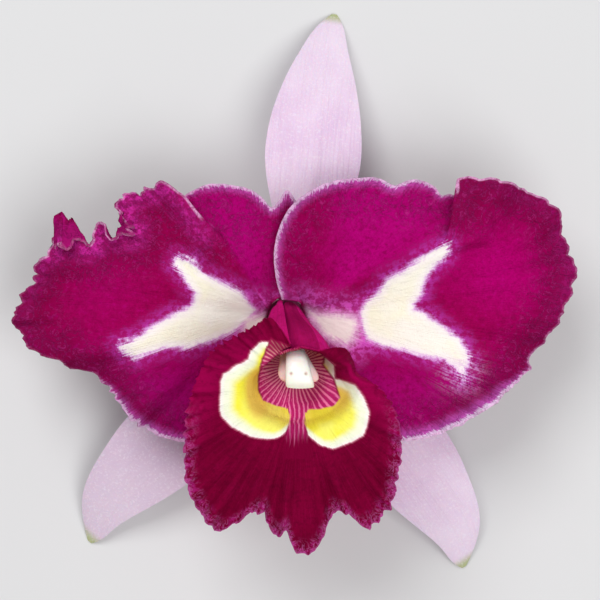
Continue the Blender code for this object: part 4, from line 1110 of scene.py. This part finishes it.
def stalk_finish():
    f = Finish("stalk_skin", {"Roughness": 0.42, "Specular IOR Level": 0.4})
    lengthwise = f.mark("along")
    veins = f.veins(f.mark("around"), lengthwise * 0.04, 3.0, 0.6)
    clouds = f.noise(f.place(), 130.0, 3.0)
    f.colour = f.mix(f.step(clouds, 0.3, 0.7), (0.2, 0.31, 0.06), (0.34, 0.45, 0.12))
    f.paint(f.step(veins, 0.45, 0.7) * 0.4, (0.44, 0.5, 0.2))
    f.paint(f.step(lengthwise, 8.0, 1.0), (0.55, 0.56, 0.34))
    # Painted shade: the ovary's top, seen in the gap round the lip's tube, is painted dark crimson
    f.paint(f.step(lengthwise, 2.2, 1.2), (0.3, 0.02, 0.12))
    f.paint(f.mark("cut"), (0.62, 0.62, 0.38))
    return f.done(veins, 0.0004)


def make_petal(node, material):
    petal, looks = PETALS[node], PETAL_LOOKS[node]
    side = petal["side"]
    sheet, u, v = new_sheet(*PETAL_GRID)
    ray = spread(u, petal["outline"], petal["dense"])
    r = v**RING_POWER
    x, y, z, frilled = petal_points(petal, looks["crimps"], r, ray)
    seen_x, seen_y = front_view(x, y, z)
    outwards = side * x
    tube_x, tube_y, room = tube_room(z)
    first, whole = looks["inner"]
    inner = ease((ray - first) / (whole - first)) * ramp(outwards, *INNER_OUT)
    warm = looks["warm"] * (1 - inner)
    marks = {
        "ray": ray,
        "reach": np.hypot(outwards - CLAW[0], y),
        "rim": from_margin(u, v, x, y, z),
        "frill": frilled,
        "pale": along(looks["fringe"], ray),
        "line": along(looks["line"], ray),
        "blaze": inside(looks["blaze"], seen_x, seen_y),
        "fray": sum(spot(seen_x, seen_y, tip, FRAY_WIDTH) for tip in looks["tips"]),
        "patch": inside(CLAW_PATCH, seen_x * side, seen_y),
        "glow": looks["glow_share"] * oval(outwards, y, looks["glow"], GLOW_WIDTHS),
        "inner": INNER_SHARE * inner,
        "warm": warm * ramp(outwards, *WARM_OUT) * ramp(y, *WARM_UP),
        "wedge": WEDGE_SHARE * oval(outwards, y, WEDGE, WEDGE_WIDTHS),
        "low": LOW_SHARE * ramp(y, *LOW_DOWN),
        # painted shade round the gap at the lip's tube
        "tube_shade": ease(TUBE_SHADE_WIDTH - (np.hypot(x - tube_x, y - tube_y) - room)),
        "frilly": along(looks["frilly"], ray),
        "streaks": spot(seen_x, seen_y, STREAKS, STREAKS_WIDTH) * (side > 0),
    }
    shape_sheet(sheet, x, y, z, marks)
    thinner = 1 - PETAL_THINNER * ramp(r, *PETAL_THINS)
    thicken(sheet, PETAL_THICK / 2 * thinner, back=1.0 if side > 0 else 0.0)
    finish_piece(node + "_blade", sheet, material, node)


def make_sepal(node, material):
    sheet, u, v = new_sheet(*SEPAL_GRID)
    across = 2 * v - 1
    x, y, z, half = sepal_points(SEPALS[node], u, across)
    marks = {"across": across * half, "along": u * SEPAL_LENGTH, "upper": u,
             "sepal_shade": SEPAL_SHADES[node]}
    shape_sheet(sheet, x, y, z, marks)
    thinner = 1 - SEPAL_THINNER * np.abs(across) ** SEPAL_THIN_POWER
    thinner *= 1 - SEPAL_TIP_THINNER * ramp(u, *SEPAL_TIP_THINS)
    thicken(sheet, SEPAL_THICK / 2 * thinner)
    finish_piece(node + "_blade", sheet, material, node)


def make_lip(material):
    look = LIP_LOOKS
    sheet, u, v = new_sheet(*LIP_GRID)
    angle = spread(u, LIP_OUTLINE, LIP_DENSE)
    x, y, z, rim = lip_points(v, angle)
    seen_x, seen_y = front_view(x, y, z)
    upward = direction(angle)[1]
    eyes = np.maximum(inside(LEFT_EYE, seen_x, seen_y), inside(RIGHT_EYE, seen_x, seen_y))
    quicker = 1 + EYE_QUICKER * hump(seen_x, *look["eye_middle"]) * (eyes > 0)
    corner = hump(angle, *look["corner"]) * ramp(v, *look["corner_out"])
    bright = hump(rim, *look["bright_rim"]) * ramp(upward, *look["bright_up"])
    bright = np.maximum(bright, look["corner_share"] * corner)
    # Painted shadow of the hood, under its rim
    under = look["under_share"] * ramp(seen_y, *look["under_up"])
    # Painted shade in the eyes' folds beside the throat, and round the throat's rim
    fold = oval(np.abs(seen_x), seen_y, look["fold"], look["fold_widths"])
    fold = fold * np.where(seen_x < 0, *look["fold_shares"])
    deep = (THROAT_FROM - v) * THROAT_SCALE
    marks = {
        "ray": angle,
        "rim": rim,
        "skirt": ramp(upward, *look["skirt"]),
        "bright": bright * ramp(upward, *look["bright_down"]),
        "eye": np.where(v < EYE_FROM, EYE_DEPTH, eyes * quicker),
        "throat": np.maximum(inside(THROAT, seen_x, seen_y), deep),
        "wall": ramp(seen_y, *look["wall"]),
        "hood": ramp(upward, *look["hood_up"]) * ramp(v, *look["hood_out"]),
        "depth": ramp(v, *look["depth"]),
        "fan": np.degrees(np.arctan2(seen_x - FAN_CENTRE[0], FAN_CENTRE[1] - seen_y)),
        "beside": seen_x,
        "down": -seen_y,
        "shade": ramp(seen_y, *look["shade"]),
        "under": under * ramp(v, *look["under_out"]),
        "band": ease(inside(BAND, seen_x, seen_y) + BAND_EDGE),
        "fold": look["ring_share"] * hump(v, *look["fold_ring"]) + fold,
    }
    shape_sheet(sheet, x, y, z, marks)
    thicken(sheet, LIP_THICK / 2 * (1 - LIP_THINNER * ramp(v, *LIP_THINS)), back=1.0)
    finish_piece("lip_blade", sheet, material, "lip")


def loft(sides, sections, marks):
    """A closed body through sections, each given as its centre and its two half axes. Each marking
    is a function of the share of the length, of the way around and of the place."""
    body, u, v = new_sheet(sides, len(sections) - 1)
    layers = {name: body.verts.layers.float.new(name) for name in marks}
    for vert, turn, share in zip(body.verts, u.tolist(), v.tolist()):
        centre, wide, high = sections[round(share * (len(sections) - 1))]
        angle = 2 * math.pi * turn
        vert.co = centre + wide * math.cos(angle) + high * math.sin(angle)
        for name, value in marks.items():
            vert[layers[name]] = value(share, turn, vert.co)
    bmesh.ops.remove_doubles(body, verts=body.verts[:], dist=0.0005)
    bmesh.ops.holes_fill(body, edges=[edge for edge in body.edges if edge.is_boundary], sides=sides)
    bmesh.ops.recalc_face_normals(body, faces=body.faces[:])
    return body


def column_frame(at):
    """Middle of the column at a share of its length, and the way that its back faces."""
    root = Vector((ROOT_X, 0.0, OVARY_TOP + COLUMN_ROOT_GAP))
    bend, tip = Vector(COLUMN_BEND), Vector(COLUMN_TIP)
    middle = root * (1 - at) ** 2 + bend * 2 * at * (1 - at) + tip * at**2
    heading = (bend - root) * (1 - at) + (tip - bend) * at
    return middle, heading.normalized().cross(Vector((1, 0, 0)))


def half_size(outline, at):
    """Half width and half depth at a share of the column's length."""
    return [float(along([(row[0], row[i]) for row in outline], at)) for i in (1, 2)]


def make_column(material):
    sides, rows = COLUMN_GRID
    sections = []
    for at in np.linspace(0, 1, rows).tolist():
        middle, back = column_frame(at)
        level = float(ease(at / COLUMN_FOOT_SHARE))
        back = (back * level + Vector((0, 1, 0)) * (1 - level)).normalized()
        wide, deep = half_size(COLUMN_OUTLINE, at)
        sections.append((middle, Vector((wide, 0, 0)), back * deep))

    def wing(share, turn, at):
        return float(ramp(abs(at.x), *WING_OUT) * ramp(share, *WING_ALONG))

    body = loft(sides, sections, {"wing": wing})
    finish_piece("column_body", body, material, "column")


def make_cap(material):
    sides, rows = CAP_GRID
    sections = []
    for at in np.linspace(CAP_OUTLINE[0][0], CAP_OUTLINE[-1][0], rows).tolist():
        middle, back = column_frame(at)
        wide, deep = half_size(CAP_OUTLINE, at)
        middle += back * (half_size(COLUMN_OUTLINE, at)[1] + CAP_GAP + deep)
        sections.append((middle, Vector((wide, 0, 0)), back * deep))

    def pit(share, turn, at):
        beside = abs(at.x - PITS["between"])
        return float(spot(beside, at.y, PITS["middle"], PITS["width"]) * (turn < 0.5))

    def upper(share, turn, at):
        return float(ramp(share, *CAP_UPPER))

    body = loft(sides, sections, {"pit": pit, "upper": upper})
    layer = body.verts.layers.float["pit"]
    body.normal_update()
    for vert in body.verts:
        vert.co -= vert.normal * PITS["depth"] * vert[layer]
    finish_piece("anther_cap_body", body, material, "anther_cap")


def make_stalk(material):
    sides, rows = STALK_GRID
    bend_top = -HEART.z + STALK_LIFT + STALK_BEND
    straight = OVARY_TOP - bend_top
    arc = STALK_BEND * math.pi / 2
    length = straight + arc + STALK_RUN
    radii = STALK_RADII + [(length - 3, 2.7), (length, 2.75)]
    sections = []
    for gone in np.linspace(0, length, rows).tolist():
        if gone <= straight:
            centre, heading = Vector((ROOT_X, 0, OVARY_TOP - gone)), Vector((0, 0, -1))
        elif gone <= straight + arc:
            turned = (gone - straight) / STALK_BEND
            centre = Vector((ROOT_X, STALK_BEND * (math.cos(turned) - 1),
                             bend_top - STALK_BEND * math.sin(turned)))
            heading = Vector((0, -math.sin(turned), -math.cos(turned)))
        else:
            past = gone - straight - arc
            centre = Vector((ROOT_X, -STALK_BEND - past, -HEART.z + STALK_LIFT))
            heading = Vector((0, -1, 0))
        radius = float(along(radii, gone))
        wide = Vector((1, 0, 0))
        sections.append((centre, wide * radius, heading.cross(wide) * radius))
    marks = {
        "around": lambda share, turn, at: math.sin(2 * math.pi * turn) * STALK_VEINS,
        "along": lambda share, turn, at: share * length,
        "cut": lambda share, turn, at: float(share > 0.999),
    }
    body = loft(sides, sections, marks)
    finish_piece("ovary_stalk_body", body, material, "ovary_stalk")


def make_bloom():
    petal, sepal = petal_finish(), sepal_finish()
    for node in PETALS:
        make_petal(node, petal)
    for node in SEPALS:
        make_sepal(node, sepal)
    make_lip(lip_finish())
    make_column(column_finish())
    make_cap(cap_finish())
    make_stalk(stalk_finish())


def make_floor():
    floor = bmesh.new()
    bmesh.ops.create_grid(floor, x_segments=4, y_segments=4, size=3.0)
    f = Finish("pale_floor", {"Roughness": 0.85, "Specular IOR Level": 0.2})
    f.colour = f.mix(f.noise(f.place(), 6.0, 2.0), (0.71, 0.71, 0.72), (0.73, 0.73, 0.735))
    piece = add_mesh("floor", floor, f.done())


def add_light(name, place, size, power, target):
    lamp = bpy.data.lights.new(name, "AREA")
    lamp.energy = power
    lamp.size = size
    holder = add_object(name, lamp)
    holder.location = place
    holder.rotation_euler = (Vector(target) - Vector(place)).to_track_quat("-Z", "Y").to_euler()


def make_studio():
    middle = (HEART.x * MM, HEART.y * MM, 0.03)
    add_light("soft_key", (-0.25, 0.45, 0.85), size=0.5, power=4.6, target=middle)
    add_light("soft_front", (0.3, -0.28, 0.88), size=0.6, power=4.6, target=middle)
    world = bpy.data.worlds.new("soft_room")
    world.use_nodes = True
    back = world.node_tree.nodes["Background"]
    back.inputs["Color"].default_value = (1.0, 1.0, 1.0, 1)
    back.inputs["Strength"].default_value = 0.32
    bpy.context.scene.world = world
    bpy.context.scene.view_settings.view_transform = "Standard"

    lens = bpy.data.cameras.new("camera")
    lens.sensor_width = SENSOR_WIDTH
    lens.lens = SENSOR_WIDTH * VIEW_DISTANCE / VIEW_WIDTH
    lens.clip_start = 0.01
    camera = add_object("camera", lens)
    eye_level = HEART.z + VIEW_LEVEL + VIEW_DISTANCE
    camera.location = (HEART.x * MM, (HEART.y + VIEW_MIDDLE) * MM, eye_level * MM)
    bpy.context.scene.camera = camera


make_bloom()
make_floor()
make_studio()
